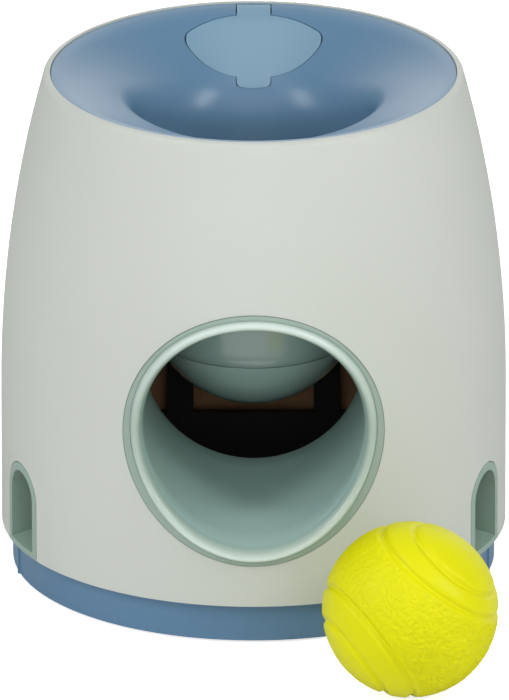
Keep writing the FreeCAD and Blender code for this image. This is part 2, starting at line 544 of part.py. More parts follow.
def make_base():
    dish = turned("base_dish", [
        ("0", "base_under"), ("base_radius", "base_under"), ("base_radius", "shell_foot"),
        ("base_radius - base_wall", "shell_foot"), ("base_radius - base_wall", "floor_top"),
        ("0", "floor_top")])
    bosses = [rod("base_boss_%d" % i, "z", "boss_radius", at_azimuth("boss_circle", "(%s)" % a),
                  "base_under", "shell_foot") for i, a in enumerate(BOSS_TURNS)]
    inside = rod("base_inside", "z", "base_radius", ("0", "0"), "base_under", "shell_foot")
    trimmed = common("base_bosses", [joined("base_boss_set", bosses), inside])
    seats = [rod("frame_seat_%d" % i, "z", "frame_boss", centre, "base_under", "frame_foot")
             for i, centre in enumerate(frame_screw_places())]
    rib_turns = ["rib_azimuth", "180 - rib_azimuth"]
    ribs = [block("base_rib_%d" % i, ("base_radius - rib_root", "base_radius + rib_proud"),
                  ("0 - rib_half_width", "rib_half_width"), ("base_under", "shell_foot"), "(0 - (%s))" % a)
            for i, a in enumerate(rib_turns)]
    sinks = [rod("base_sink_%d" % i, "z", "screw_sink", at_azimuth("boss_circle", "(%s)" % a),
                 "base_under", "base_under + base_sink") for i, a in enumerate(BOSS_TURNS)]
    holes = [rod("base_hole_%d" % i, "z", "screw_hole", at_azimuth("boss_circle", "(%s)" % a),
                 "base_under", "shell_foot") for i, a in enumerate(BOSS_TURNS)]
    frame_sinks = [rod("frame_sink_%d" % i, "z", "screw_sink", centre, "base_under", "frame_screw_sink")
                   for i, centre in enumerate(frame_screw_places())]
    frame_holes = [rod("frame_hole_%d" % i, "z", "screw_hole", centre, "base_under", "frame_foot")
                   for i, centre in enumerate(frame_screw_places())]
    groove = cut("grip_groove", rod("grip_groove_disc", "z", "grip_outer + grip_gap", ("0", "0"),
                                    "base_under", "grip_rise"),
                 [rod("grip_groove_core", "z", "grip_inner - grip_gap", ("0", "0"), "base_under", "grip_rise")])
    body = joined("base_whole", [dish, trimmed] + seats + ribs)
    return cut("base", body, sinks + holes + frame_sinks + frame_holes + [groove])


def make_grip_ring():
    """The soft rubber ring that the toy stands on."""
    return turned("non_slip_ring", [
        ("grip_inner + grip_bevel", "0"), ("grip_outer - grip_bevel", "0"), ("grip_outer", "grip_bevel"),
        ("grip_outer", "grip_rise"), ("grip_inner", "grip_rise"), ("grip_inner", "grip_bevel")])


# Screws: a pan head and a shank, in groups of the same kind.

def screw(name, axis, centre, under_head, tip):
    """One screw; under_head is the face its head sits on, tip the end of its shank."""
    forward = num(tip) > num(under_head)
    if forward:
        head = rod(name + "_head", axis, "screw_head", centre, "%s - screw_head_height" % under_head,
                   under_head)
        shank = rod(name + "_shank", axis, "screw_radius", centre, "%s - screw_overlap" % under_head, tip)
    else:
        head = rod(name + "_head", axis, "screw_head", centre, under_head,
                   "%s + screw_head_height" % under_head)
        shank = rod(name + "_shank", axis, "screw_radius", centre, tip, "%s + screw_overlap" % under_head)
    return joined(name, [head, shank])


def make_screws():
    base_set = [screw("base_screw_%d" % i, "z", at_azimuth("boss_circle", "(%s)" % a),
                      "(base_under + base_sink)", "shell_foot + screw_grip") for i, a in enumerate(BOSS_TURNS)]
    funnel_set = [screw("funnel_screw_%d" % i, "z", at_azimuth("lug_circle", "(%s)" % a),
                        "(lug_bottom)", "lug_top + funnel_screw_grip") for i, a in enumerate(LUG_TURNS)]
    frame_set = [screw("frame_screw_%d" % i, "z", centre, "frame_screw_sink", "foot_top - frame_screw_short")
                 for i, centre in enumerate(frame_screw_places())]
    lug_middle = "(tunnel_lug_bottom + tunnel_lug_top) / 2"
    tunnel_one = screw("tunnel_screw", "x", ("tunnel_screw_y", lug_middle), "(plate_outside)",
                       "plate_inside - tunnel_lug_gap - tunnel_wall")
    ear_set = [screw("hopper_screw_%d" % i, "x", ("ear_screw_y", height), "(plate_outside)",
                     "plate_inside - tunnel_lug_gap - ear_web") for i, height
               in enumerate(("ear_screw_low", "ear_screw_high"))]
    return [joined("base_screws", base_set), joined("funnel_screws", funnel_set),
            joined("frame_screws", frame_set), pair("tunnel_screws", tunnel_one),
            pair("hopper_screws", joined("hopper_screw_pair", ear_set))]


# Cup: a round bowl hung near its centre on two steel pins.

def make_cup():
    inner = "cup_radius - cup_wall"
    points = [("0", "0 - cup_radius"), ("cup_radius", "0"), ("cup_radius", "cup_collar"),
              (inner, "cup_collar"), (inner, "0"), ("0", "0 - (%s)" % inner)]
    bowl = turned("cup_bowl", points, {0: ("cup_radius", -1), 4: (inner, 1)})
    place(bowl, "0", "cup_y", "cup_z")
    boss = rod("cup_side_boss", "x", "cup_boss", ("axle_y", "axle_z"), "cup_boss_start", "cup_boss_end")
    hole = rod("cup_pin_hole", "x", "axle_radius + press_gap", ("axle_y", "axle_z"), "trunnion_start",
               "cup_boss_end")
    body = joined("cup_whole", [bowl, pair("cup_bosses", boss)])
    return cut("tipping_cup", body, [pair("cup_holes", hole)])


def make_trunnions():
    pin = rod("trunnion", "x", "axle_radius", ("axle_y", "axle_z"), "trunnion_start", "lever_outside")
    return pair("cup_trunnions", pin)


def make_bushes():
    sleeve = rod("bush_sleeve", "x", "bush_radius", ("axle_y", "axle_z"), "plate_inside", "plate_outside")
    flange = rod("bush_collar", "x", "bush_flange", ("axle_y", "axle_z"), "cup_boss_end + bush_play",
                 "plate_inside")
    bore = rod("bush_bore", "x", "axle_radius + running_fit", ("axle_y", "axle_z"),
               "cup_boss_end + bush_play", "plate_outside")
    return pair("cup_bushes", cut("cup_bush", joined("cup_bush_blank", [sleeve, flange]), [bore]))


# Linkage: two equal levers and one link, a parallelogram that turns the drum as far as the cup.

def lever(name, hub, pin):
    """A lever from a hub on an axle to the eye that holds a pivot pin."""
    plate = joined(name + "_plate", [
        rod(name + "_hub", "x", "hub_radius", hub, "lever_inside", "lever_outside"),
        rod(name + "_eye", "x", "eye_radius", pin, "lever_inside", "lever_outside"),
        bar(name + "_web", hub, pin, "crank_angle", "arm_half", "lever_inside", "lever_outside")])
    bores = [rod(name + "_bore", "x", "axle_radius + press_gap", hub, "lever_inside", "lever_outside"),
             rod(name + "_pin_bore", "x", "pivot_radius + press_gap", pin, "lever_inside", "lever_outside")]
    return cut(name, plate, bores)


def pivot_pin(name, centre):
    """A headed pin that stands in a lever and carries one end of the link."""
    stem = rod(name + "_stem", "x", "pivot_radius", centre, "lever_inside", "link_outside + pivot_head_gap")
    head = rod(name + "_head", "x", "pivot_head", centre, "link_outside + pivot_head_gap",
               "link_outside + pivot_head_gap + pivot_head_height")
    return joined(name, [stem, head])


def make_link():
    front, rear = ("pin_y", "pin_z"), ("drum_pin_y", "drum_pin_z")
    plate = joined("link_plate", [
        rod("link_front_eye", "x", "eye_radius", front, "link_inside", "link_outside"),
        rod("link_rear_eye", "x", "eye_radius", rear, "link_inside", "link_outside"),
        bar("link_web", front, rear, "link_angle", "arm_half", "link_inside", "link_outside")])
    bores = [rod("link_front_bore", "x", "pivot_radius + running_fit", front, "link_inside", "link_outside"),
             rod("link_rear_bore", "x", "pivot_radius + pivot_clearance", rear, "link_inside", "link_outside")]
    return cut("drive_link", plate, bores)


# Dosing drum: one pocket that fills under the hopper and empties behind.

def make_drum():
    core = rod("drum_core", "x", "drum_radius", ("drum_y", "drum_z"), "0 - drum_half", "drum_half")
    reach = "drum_radius + pocket_margin"
    corners = [("pocket_floor", "0 - pocket_half"), (reach, "0 - pocket_half"),
               (reach, "pocket_half"), ("pocket_floor", "pocket_half")]
    points = [("drum_y + (%s) * cos(pocket_angle) - (%s) * sin(pocket_angle)" % (u, w),
               "drum_z + (%s) * sin(pocket_angle) + (%s) * cos(pocket_angle)" % (u, w)) for u, w in corners]
    pocket = slab("drum_pocket", "x", points, "0 - pocket_half_length", "pocket_half_length")
    bore = rod("drum_bore", "x", "axle_radius + press_gap", ("drum_y", "drum_z"), "0 - drum_half", "drum_half")
    return cut("dosing_drum", core, [pocket, bore])


def make_drum_axle():
    return rod("drum_axle", "x", "axle_radius", ("drum_y", "drum_z"), "0 - drum_axle_end", "lever_outside")


def make_drum_bushes():
    sleeve = rod("drum_bush_sleeve", "x", "bush_radius", ("drum_y", "drum_z"),
                 "drum_end + bush_recess", "drum_end + hopper_wall")
    flange = rod("drum_bush_collar", "x", "bush_flange", ("drum_y", "drum_z"), "drum_end + hopper_wall",
                 "drum_end + hopper_wall + drum_bush_flange")
    bore = rod("drum_bush_bore", "x", "axle_radius + running_fit", ("drum_y", "drum_z"), "drum_end",
               "drum_end + hopper_wall + drum_bush_flange")
    return pair("drum_bushes", cut("drum_bush", joined("drum_bush_blank", [sleeve, flange]), [bore]))


# Counterweight: a steel slug on an arm, which brings the empty cup back.

def make_weight_arm():
    hub, end = ("axle_y", "axle_z"), ("axle_y + weight_arm", "axle_z")
    inner, outer = "0 - (lever_outside)", "0 - (lever_inside)"
    plate = joined("weight_arm_plate", [
        rod("weight_arm_hub", "x", "hub_radius", hub, inner, outer),
        rod("weight_arm_eye", "x", "eye_radius", end, inner, outer),
        bar("weight_arm_web", hub, end, "0", "arm_half", inner, outer)])
    bores = [rod("weight_arm_bore", "x", "axle_radius + press_gap", hub, inner, outer),
             rod("weight_stud_bore", "x", "weight_stud + press_gap", end, inner, outer)]
    return cut("counterweight_arm", plate, bores)


def make_weight():
    centre = ("axle_y + weight_arm", "axle_z")
    slug = rod("weight_slug", "x", "weight_radius", centre, "0 - (lever_outside) - weight_length",
               "0 - (lever_outside)")
    stud = rod("weight_stud_pin", "x", "weight_stud", centre, "0 - (lever_outside) - weight_overlap",
               "0 - (lever_inside)")
    return joined("counterweight", [slug, stud])


# Frame: black plates at both sides, joined by a foot and by a panel with open windows.

def make_frame():
    outline = [("plate_front", "frame_foot"), ("plate_leg_rear", "frame_foot"), ("plate_leg_rear", "arm_root"),
               ("arm_end", "arm_bottom"), ("arm_end", "arm_top"), ("panel_rear", "bar_top"),
               ("panel_front - panel_shoulder", "bar_top"), ("plate_step", "plate_top"),
               ("plate_front", "plate_top")]
    right = slab("frame_right_plate", "x", outline, "plate_inside", "plate_outside")
    left = slab("frame_left_plate", "x", outline, "0 - (plate_outside)", "0 - plate_inside")
    foot = block("frame_foot_front", ("0 - (plate_outside)", "plate_outside"),
                 ("plate_front", "plate_leg_rear"), ("frame_foot", "foot_top"))
    tail = block("frame_foot_rear", ("0 - panel_half", "panel_half"), ("plate_leg_rear", "panel_rear"),
                 ("frame_foot", "foot_top"))
    sill = block("frame_sill", ("0 - panel_half", "panel_half"), ("panel_front", "panel_rear"),
                 ("frame_foot", "panel_sill"))
    post = block("frame_post", ("post_inner", "post_outer"), ("panel_front", "panel_rear"),
                 ("panel_sill - post_overlap", "bar_bottom + post_overlap"))
    lintel = block("frame_lintel", ("0 - (plate_outside)", "plate_outside"), ("panel_front", "panel_rear"),
                   ("bar_bottom", "bar_top"))
    body = joined("frame_whole", [right, left, foot, tail, sill, pair("frame_posts", post), lintel])
    bush_bore = rod("frame_bush_bore", "x", "bush_radius + press_gap", ("axle_y", "axle_z"),
                    "plate_inside", "plate_outside")
    lug_bore = rod("frame_lug_bore", "x", "screw_hole",
                   ("tunnel_screw_y", "(tunnel_lug_bottom + tunnel_lug_top) / 2"),
                   "plate_inside", "plate_outside")
    ear_bores = [rod("frame_ear_bore_%d" % i, "x", "screw_hole", ("ear_screw_y", height),
                     "plate_inside", "plate_outside")
                 for i, height in enumerate(("ear_screw_low", "ear_screw_high"))]
    side_bores = joined("frame_side_bores", [bush_bore, lug_bore] + ear_bores)
    foot_bores = [rod("frame_foot_bore_%d" % i, "z", "screw_pilot", centre, "frame_foot", "foot_top")
                  for i, centre in enumerate(frame_screw_places())]
    return cut("mechanism_frame", body, [pair("frame_bores", side_bores)] + foot_bores)


# Hopper: brown box under the hatch that narrows to the drum's housing.

def hopper_space(name, wall, bottom, top):
    """The hopper's outer form, or its inside when a wall is given."""
    side = "drum_side + hopper_wall - (%s)" % wall
    end = "drum_end + hopper_wall - (%s)" % wall
    front = "hopper_front + (%s)" % wall
    rear = "hopper_rear - (%s)" % wall
    half = "hopper_half - (%s)" % wall
    along = slab(name + "_side", "x", [
        (front, top), (front, "hopper_shoulder"), ("drum_y - (%s)" % side, "hopper_neck"),
        ("drum_y - (%s)" % side, bottom), ("drum_y + (%s)" % side, bottom),
        ("drum_y + (%s)" % side, "hopper_neck"), (rear, "hopper_shoulder"), (rear, top)],
        "0 - hopper_half - cut_margin", "hopper_half + cut_margin")
    across = slab(name + "_front", "y", [
        ("0 - (%s)" % half, top), ("0 - (%s)" % half, "hopper_shoulder"), ("0 - (%s)" % end, "hopper_neck"),
        ("0 - (%s)" % end, bottom), (end, bottom), (end, "hopper_neck"), (half, "hopper_shoulder"),
        (half, top)], "hopper_front - cut_margin", "hopper_rear + wide_margin")
    return common(name, [along, across])


def make_hopper():
    outside = hopper_space("hopper_outside", "0", "hopper_bottom", "hopper_top")
    inside = hopper_space("hopper_inside", "hopper_wall", "hopper_bottom - cut_margin",
                          "hopper_top + cut_margin")
    gate = block("hopper_gate", ("0 - (drum_end)", "drum_end"), ("drum_y", "drum_y + drum_side + cut_margin"),
                 ("hopper_bottom - cut_margin", "gate_height"))
    box = cut("hopper_box", outside, [inside, gate])
    ear_face = "plate_inside - tunnel_lug_gap"
    ear = joined("hopper_ear", [
        block("hopper_ear_plate", (ear_face + " - ear_web", ear_face), ("ear_front", "ear_rear"),
              ("ear_bottom", "ear_top")),
        block("hopper_ear_web", ("hopper_half - ear_root", ear_face), ("ear_front", "ear_rear"),
              ("ear_web_bottom", "ear_web_bottom + ear_web"))])
    pilots = [rod("hopper_ear_bore_%d" % i, "x", "screw_pilot", ("ear_screw_y", height),
                  ear_face + " - ear_web", ear_face)
              for i, height in enumerate(("ear_screw_low", "ear_screw_high"))]
    ears = pair("hopper_ears", cut("hopper_ear_drilled", ear, pilots))
    bush_bore = rod("hopper_bush_bore", "x", "bush_radius + press_gap", ("drum_y", "drum_z"),
                    "drum_end", "drum_end + hopper_wall")
    return cut("treat_hopper", joined("hopper_whole", [box, ears]), [pair("hopper_bush_bores", bush_bore)])


# Ramp: brown crescent tray behind the frame, which falls to both outlets.

def below_plane(name, rise):
    """Everything under the ramp's right-hand plane, moved up by a rise."""
    turn = FreeCAD.Rotation(0 - num("ramp_fall"), num("ramp_slope"), 0)
    wide = 4 * num("ramp_outer")
    deep = 2 * num("ramp_outer")
    corner = turn.multVec(V(-wide / 2, -wide / 2, -deep))
    half = doc.addObject("Part::Box", name)
    half.Length = wide
    half.Width = wide
    half.Height = deep
    half.Placement = FreeCAD.Placement(corner, turn)
    place(half, "ramp_low_x + (%.6f)" % corner.x, "ramp_low_y + (%.6f)" % corner.y,
          "ramp_low_z + (%.6f) + (%s)" % (corner.z, rise))
    return half


def make_ramp():
    outer_centre = ("0", "ramp_outer_y")
    plan = cut("ramp_plan", rod("ramp_disc", "z", "ramp_outer", outer_centre, "floor_top", "ramp_top"),
               [rod("ramp_hole", "z", "ramp_inner", ("0", "0"), "floor_top", "ramp_top")])
    channel_disc = rod("ramp_channel_disc", "z", "ramp_outer - ramp_wall", outer_centre, "floor_top",
                       "ramp_top")
    channel_hole = rod("ramp_channel_hole", "z", "ramp_inner + ramp_wall", ("0", "0"), "floor_top", "ramp_top")
    channel = cut("ramp_channel", channel_disc, [channel_hole])
    turn = "(0 - outlet_azimuth)"
    end_wall = block("ramp_end_wall", ("ramp_inner + ramp_end_lead", "ramp_outer"),
                     ("0 - outlet_half - ramp_wall", "0 - outlet_half"), ("floor_top", "ramp_top"), turn)
    rings = cut("ramp_rings", plan, [channel])
    wall_plan = joined("ramp_wall_plan", [rings, common("ramp_end", [end_wall, plan])])
    walls = common("ramp_walls", [wall_plan, below_plane("ramp_guard_top", "ramp_guard")])
    tray = common("ramp_tray", [plan, cut("ramp_sheet", below_plane("ramp_sheet_top", "0"),
                                          [below_plane("ramp_sheet_under", "0 - ramp_wall")])])
    high = "ramp_top + cut_margin"
    wide = "ramp_outer + ramp_far"
    beyond = block("ramp_beyond", ("0", wide), ("0 - 2 * ramp_outer", "0 - outlet_half - ramp_wall"),
                   ("0", high), turn)
    other = block("ramp_other_half", ("0 - (%s)" % wide, "0"), ("0 - (%s)" % wide, wide), ("0", high))
    mouth_block = block("ramp_mouth_block", ("ramp_outer - ramp_mouth_depth", "ramp_outer + cut_margin"),
                        ("0 - outlet_half", "outlet_half"), ("floor_top", high), turn)
    mouth = cut("ramp_mouth", mouth_block, [below_plane("ramp_mouth_floor", "0")])
    inner_half = cut("ramp_right", joined("ramp_right_whole", [walls, tray]), [beyond, other, mouth])
    return joined("treat_ramp", [inner_half, mirrored("ramp_left", inner_half)])


# Funnel and lid: the dished surface is worked out for each direction from the throat's centre. It starts
# flat at the rim, turns down on an arc, runs straight and turns into the upright throat on a shoulder.

DIRECTIONS = 48
LIP_STEPS = 5
SHOULDER_STEPS = 6


def blended(side, front, flank, rear):
    """A size that changes with the direction: side is -1 in front, 0 at the flanks, 1 at the rear."""
    return (front + rear) / 2 + (rear - front) / 2 * side + (flank - (front + rear) / 2) * (1 - side * side)


def funnel_rows(offset, bottom):
    """Closed rows of points down the funnel's surface, moved under it by an offset."""
    top, rim, throat = num("funnel_top"), num("funnel_radius"), num("throat_radius")
    centre_y, lip = num("throat_y"), num("lip_arc")
    rows = [[] for k in range(LIP_STEPS + SHOULDER_STEPS + 2)]
    for i in range(DIRECTIONS):
        azimuth = 2 * math.pi * i / DIRECTIONS
        side, across = math.sin(azimuth), math.cos(azimuth)
        depth = blended(side, num("depth_front"), num("depth_side"), num("depth_rear"))
        shoulder = blended(side, num("shoulder_front"), num("shoulder_side"), num("shoulder_rear"))
        reach = -centre_y * side + math.sqrt(rim * rim - (centre_y * across) ** 2)
        run, fall = reach - throat - shoulder, depth - lip
        slope = math.atan2(fall, run) + math.asin((lip - shoulder) / math.hypot(run, fall))
        line = []
        for k in range(LIP_STEPS):
            turn = slope * k / (LIP_STEPS - 1)
            line.append((reach - (lip - offset) * math.sin(turn), top - lip + (lip - offset) * math.cos(turn)))
        for k in range(SHOULDER_STEPS):
            turn = slope + (math.pi / 2 - slope) * k / (SHOULDER_STEPS - 1)
            line.append((throat + shoulder - (shoulder - offset) * math.sin(turn),
                         top - depth + (shoulder - offset) * math.cos(turn)))
        line.append((throat + offset, (top - depth + bottom) / 2))
        line.append((throat + offset, bottom))
        for row, (radius, height) in zip(rows, line):
            row.append(V(radius * across, centre_y + radius * side, height))
    return rows


def funnel_solid(offset, bottom):
    """The solid above the funnel's surface when offset is zero, and with a wall's thickness added when not."""
    wires = []
    for row in funnel_rows(offset, bottom):
        curve = Part.BSplineCurve()
        curve.interpolate(Points=row, PeriodicFlag=True)
        wires.append(Part.Wire([curve.toShape()]))
    return Part.makeLoft(wires, True, True)


def hatch_column(inset):
    """A column square to the hatch's slope, with the hatch's outline drawn in by an inset."""
    tilt = math.radians(num("lid_tilt"))
    across, along = V(1, 0, 0), V(0, math.cos(tilt), math.sin(tilt))
    hinge = V(0, num("lid_hinge_y"), num("lid_hinge_z"))
    half, tab = num("lid_half_width") - inset, num("lid_tab_half") - inset
    belly, corner = num("lid_belly_half") - inset, num("lid_corner")
    front, tab_front = num("lid_front") - inset, num("lid_tab_front") - inset
    belly_drop, rounding = num("lid_belly") - inset, num("lid_tab_round")

    def at(u, v):
        return hinge + across * u - along * v
    behind = -num("lid_behind")
    cut_in = rounding * (1 - math.sqrt(0.5))
    edges = [
        Part.LineSegment(at(half, behind), at(half, corner)).toShape(),
        Part.Arc(at(half, corner), at(belly, belly_drop), at(tab, front)).toShape(),
        Part.LineSegment(at(tab, front), at(tab, tab_front - rounding)).toShape(),
        Part.Arc(at(tab, tab_front - rounding), at(tab - cut_in, tab_front - cut_in),
                 at(tab - rounding, tab_front)).toShape(),
        Part.LineSegment(at(tab - rounding, tab_front), at(rounding - tab, tab_front)).toShape(),
        Part.Arc(at(rounding - tab, tab_front), at(cut_in - tab, tab_front - cut_in),
                 at(-tab, tab_front - rounding)).toShape(),
        Part.LineSegment(at(-tab, tab_front - rounding), at(-tab, front)).toShape(),
        Part.Arc(at(-tab, front), at(-belly, belly_drop), at(-half, corner)).toShape(),
        Part.LineSegment(at(-half, corner), at(-half, behind)).toShape(),
        Part.LineSegment(at(-half, behind), at(half, behind)).toShape()]
    normal = V(0, -math.sin(tilt), math.cos(tilt))
    face = Part.Face(Part.Wire(edges))
    face.translate(normal * -num("hatch_reach"))
    column = face.extrude(normal * 2 * num("hatch_reach"))
    low = num("throat_bottom")
    rear = Part.makeCylinder(num("lid_rear_arc") - inset, num("shell_top") + num("hatch_reach") - low,
                             V(0, num("lid_rear_centre"), low))
    return column.common(rear)


def rear_slot(half, rear, bottom):
    """The straight slot from the hatch to the rim, in which the rear tab and the barrel lie."""
    front = num("lid_rear") - num("hinge_slot_lead")
    height = num("funnel_top") + num("slot_above") - bottom
    return Part.makeBox(2 * half, rear - front, height, V(-half, front, bottom))


def hinge_rod(radius, half):
    """A round bar on the lid's hinge line."""
    return Part.makeCylinder(radius, 2 * half, V(-half, num("lid_hinge_y"), num("lid_hinge_z")), V(1, 0, 0))


def make_funnel():
    bottom = num("throat_bottom")
    top, edge = num("funnel_top"), num("funnel_edge")
    seat = num("funnel_seat")
    hollow = funnel_solid(0, bottom)
    body = funnel_solid(num("funnel_wall"), bottom)
    rim = Part.makeCylinder(edge, top - seat, V(0, 0, seat))
    under_rim = Part.makeCylinder(edge - num("skirt_wall"), top - num("funnel_wall") - seat, V(0, 0, seat))
    body = body.fuse([rim.cut(under_rim)])
    for k in range(4):
        turn = math.radians(num("lug_azimuth") + 90 * k)
        spot = V(num("lug_circle") * math.cos(turn), num("lug_circle") * math.sin(turn), num("lug_top"))
        boss = Part.makeCylinder(num("funnel_boss"), top - spot.z, spot)
        body = body.fuse([boss])
    half = num("hinge_block_half")
    low = num("hinge_block_bottom")
    knuckle = Part.makeBox(2 * half, num("hinge_block_rear") - num("hinge_block_front"), top - low,
                           V(-half, num("hinge_block_front"), low))
    body = body.fuse([knuckle])
    body = body.cut(hollow)
    recess = funnel_solid(num("lid_thickness"), bottom).common(hatch_column(0))
    opening = hatch_column(num("lid_ledge"))
    room = num("lid_barrel") + num("lid_barrel_room")
    slot = rear_slot(num("hinge_slot_half"), num("lid_hinge_y") + room, num("hinge_slot_floor"))
    body = body.cut([recess, opening, slot, hinge_rod(num("lid_pin") + num("press_gap"), num("lid_pin_half"))])
    for k in range(4):
        turn = math.radians(num("lug_azimuth") + 90 * k)
        spot = V(num("lug_circle") * math.cos(turn), num("lug_circle") * math.sin(turn), num("lug_top"))
        body = body.cut(Part.makeCylinder(num("screw_pilot"), num("funnel_pilot"), spot))
    return feature("funnel", body)


def make_lid():
    bottom = num("throat_bottom")
    gap = num("lid_gap")
    layer = funnel_solid(num("lid_thickness") - num("lid_float"), bottom).cut(funnel_solid(0, bottom))
    half = num("lid_rear_tab")
    hinge_y = num("lid_hinge_y")
    neck = rear_slot(half, hinge_y, num("hinge_block_bottom"))
    plate = layer.common(hatch_column(gap)).fuse([layer.common(neck), hinge_rod(num("lid_barrel"), half)])
    plate = plate.cut(hinge_rod(num("lid_pin") + num("lid_pin_run"), half))
    return feature("treat_lid", plate)


def feature(name, shape):
    """A sub-part whose shape is worked out in code."""
    if len(shape.Solids) == 1:
        shape = shape.Solids[0]
    part = doc.addObject("Part::Feature", name)
    part.Shape = shape
    part.Placement = FreeCAD.Placement()
    return part


def make_lid_pin():
    return rod("lid_hinge_pin", "x", "lid_pin", ("lid_hinge_y", "lid_hinge_z"), "0 - lid_pin_half",
               "lid_pin_half")


# Ball: solid rubber with two pairs of round seam grooves.

def make_ball():
    globe = doc.addObject("Part::Sphere", "ball_globe")
    bind(globe, "Radius", "ball_radius")
    place(globe, "ball_x", "ball_y", "ball_radius")
    grooves = []
    for side in ("low", "high"):
        azimuth, tilt = num("seam_%s_azimuth" % side), num("seam_%s_tilt" % side)
        for reach in ("seam_inner", "seam_outer"):
            ring = doc.addObject("Part::Torus", "seam_%s_%s" % (side, reach))
            bind(ring, "Radius1", "sqrt(ball_radius^2 - %s^2)" % reach)
            bind(ring, "Radius2", "seam_radius")
            direction = FreeCAD.Rotation(azimuth, 0, 0).multiply(FreeCAD.Rotation(V(0, 1, 0), 90 - tilt))
            axis = direction.multVec(V(0, 0, 1))
            ring.Placement = FreeCAD.Placement(V(), direction)
            place(ring, "ball_x + %s * (%.6f)" % (reach, axis.x), "ball_y + %s * (%.6f)" % (reach, axis.y),
                  "ball_radius + %s * (%.6f)" % (reach, axis.z))
            grooves.append(ring)
    return cut("ball", globe, grooves)


doc.recompute()
right_outlet = make_right_outlet()
nodes = [
    make_shell(), make_funnel(), make_lid(), make_lid_pin(), make_tunnel(), right_outlet,
    mirrored("left_outlet", right_outlet), make_base(), make_grip_ring(), make_cup(), make_trunnions(),
    make_bushes(), lever("cup_lever", ("axle_y", "axle_z"), ("pin_y", "pin_z")),
    pivot_pin("cup_lever_pin", ("pin_y", "pin_z")), make_link(),
    lever("drum_lever", ("drum_y", "drum_z"), ("drum_pin_y", "drum_pin_z")),
    pivot_pin("drum_lever_pin", ("drum_pin_y", "drum_pin_z")), make_drum(), make_drum_axle(),
    make_drum_bushes(), make_weight_arm(), make_weight(), make_frame(), make_hopper(), make_ramp(),
    make_ball()] + make_screws()
doc.recompute()

for thing in doc.Objects:
    if "Invalid" in thing.State or "Error" in thing.State:
        raise RuntimeError("%s failed: %s" % (thing.Label, thing.State))
os.makedirs("parts", exist_ok=True)
for node in nodes:
    node.Label = node.Name
    shape = node.Shape
    if shape.isNull() or not shape.isValid() or not shape.Solids:
        raise RuntimeError("%s has no valid solid" % node.Label)
    print("%-20s solids %d volume %.1f" % (node.Label, len(shape.Solids), shape.Volume))
    shape.exportStep("parts/%s.step" % node.Label)
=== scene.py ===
import json
import math

import bmesh
import bpy
from mathutils import Matrix, Vector

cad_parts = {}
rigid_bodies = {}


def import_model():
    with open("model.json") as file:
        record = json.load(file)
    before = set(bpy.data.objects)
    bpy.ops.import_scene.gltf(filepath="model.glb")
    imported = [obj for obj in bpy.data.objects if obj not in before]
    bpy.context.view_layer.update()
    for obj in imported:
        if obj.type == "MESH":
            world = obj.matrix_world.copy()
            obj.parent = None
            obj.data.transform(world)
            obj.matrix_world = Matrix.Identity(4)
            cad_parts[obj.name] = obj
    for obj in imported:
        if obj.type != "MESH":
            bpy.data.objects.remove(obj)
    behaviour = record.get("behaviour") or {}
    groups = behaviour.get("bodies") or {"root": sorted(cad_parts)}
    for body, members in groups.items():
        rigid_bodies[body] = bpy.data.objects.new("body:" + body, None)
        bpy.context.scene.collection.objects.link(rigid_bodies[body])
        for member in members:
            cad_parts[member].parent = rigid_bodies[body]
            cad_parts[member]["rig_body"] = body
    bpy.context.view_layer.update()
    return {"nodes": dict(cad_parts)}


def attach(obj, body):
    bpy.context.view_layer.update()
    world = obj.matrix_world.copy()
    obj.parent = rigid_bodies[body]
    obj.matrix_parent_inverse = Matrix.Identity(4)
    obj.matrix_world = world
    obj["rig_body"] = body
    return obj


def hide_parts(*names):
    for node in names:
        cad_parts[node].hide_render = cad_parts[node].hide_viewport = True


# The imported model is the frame: every node stands where the CAD put it, in metres, on its own body.
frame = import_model()
nodes = frame["nodes"]
scene = bpy.context.scene
MM = 0.001


# Stage: a white floor that fades into the white world, a very wide soft light in front, a tall one at each
# side, a weak strip above, and a low one behind, which lights the shell's back and isn't mirrored.
# The camera looks down at the toy from in front, with a long lens as for a catalogue picture.

def colour(red, green, blue):
    """A linear colour from screen values of 0 to 255."""
    parts = [value / 255 for value in (red, green, blue)]
    return [p / 12.92 if p <= 0.04045 else ((p + 0.055) / 1.055) ** 2.4 for p in parts] + [1.0]


def worked(tree, operation, first, second=0.0):
    """The output of a new math node on two numbers or sockets."""
    node = tree.nodes.new("ShaderNodeMath")
    node.operation = operation
    for socket, value in zip(node.inputs, (first, second)):
        if isinstance(value, bpy.types.NodeSocket):
            tree.links.new(value, socket)
        else:
            socket.default_value = value
    return node.outputs[0]


def studio_camera():
    """A long lens in front of the toy, 21 degrees above the floor, that frames it as the photograph does."""
    distance, down, aim_height, sideways = 7.0, math.radians(21.0), 0.0756, 0.0003
    focal_pixels, image_height, sensor = 20314, 700, 36
    lens = bpy.data.cameras.new("camera")
    camera = bpy.data.objects.new("camera", lens)
    scene.collection.objects.link(camera)
    camera.location = (sideways, -distance * math.cos(down), aim_height + distance * math.sin(down))
    camera.rotation_euler = (math.pi / 2 - down, 0, 0)
    lens.sensor_width = sensor
    lens.sensor_fit = "AUTO"
    lens.lens = focal_pixels * sensor / image_height
    lens.clip_end = 100
    scene.camera = camera


def soft_light(name, place, size, power, mirrored=True):
    """A rectangular area light that points at the middle of the toy (metres, watts)."""
    toy_middle = Vector((0, 0, 0.1))
    lamp = bpy.data.lights.new(name, "AREA")
    lamp.shape = "RECTANGLE"
    lamp.size, lamp.size_y = size
    lamp.energy = power
    light = bpy.data.objects.new(name, lamp)
    light.location = place
    light.visible_glossy = mirrored
    light.rotation_euler = (toy_middle - Vector(place)).to_track_quat("-Z", "Y").to_euler()
    scene.collection.objects.link(light)


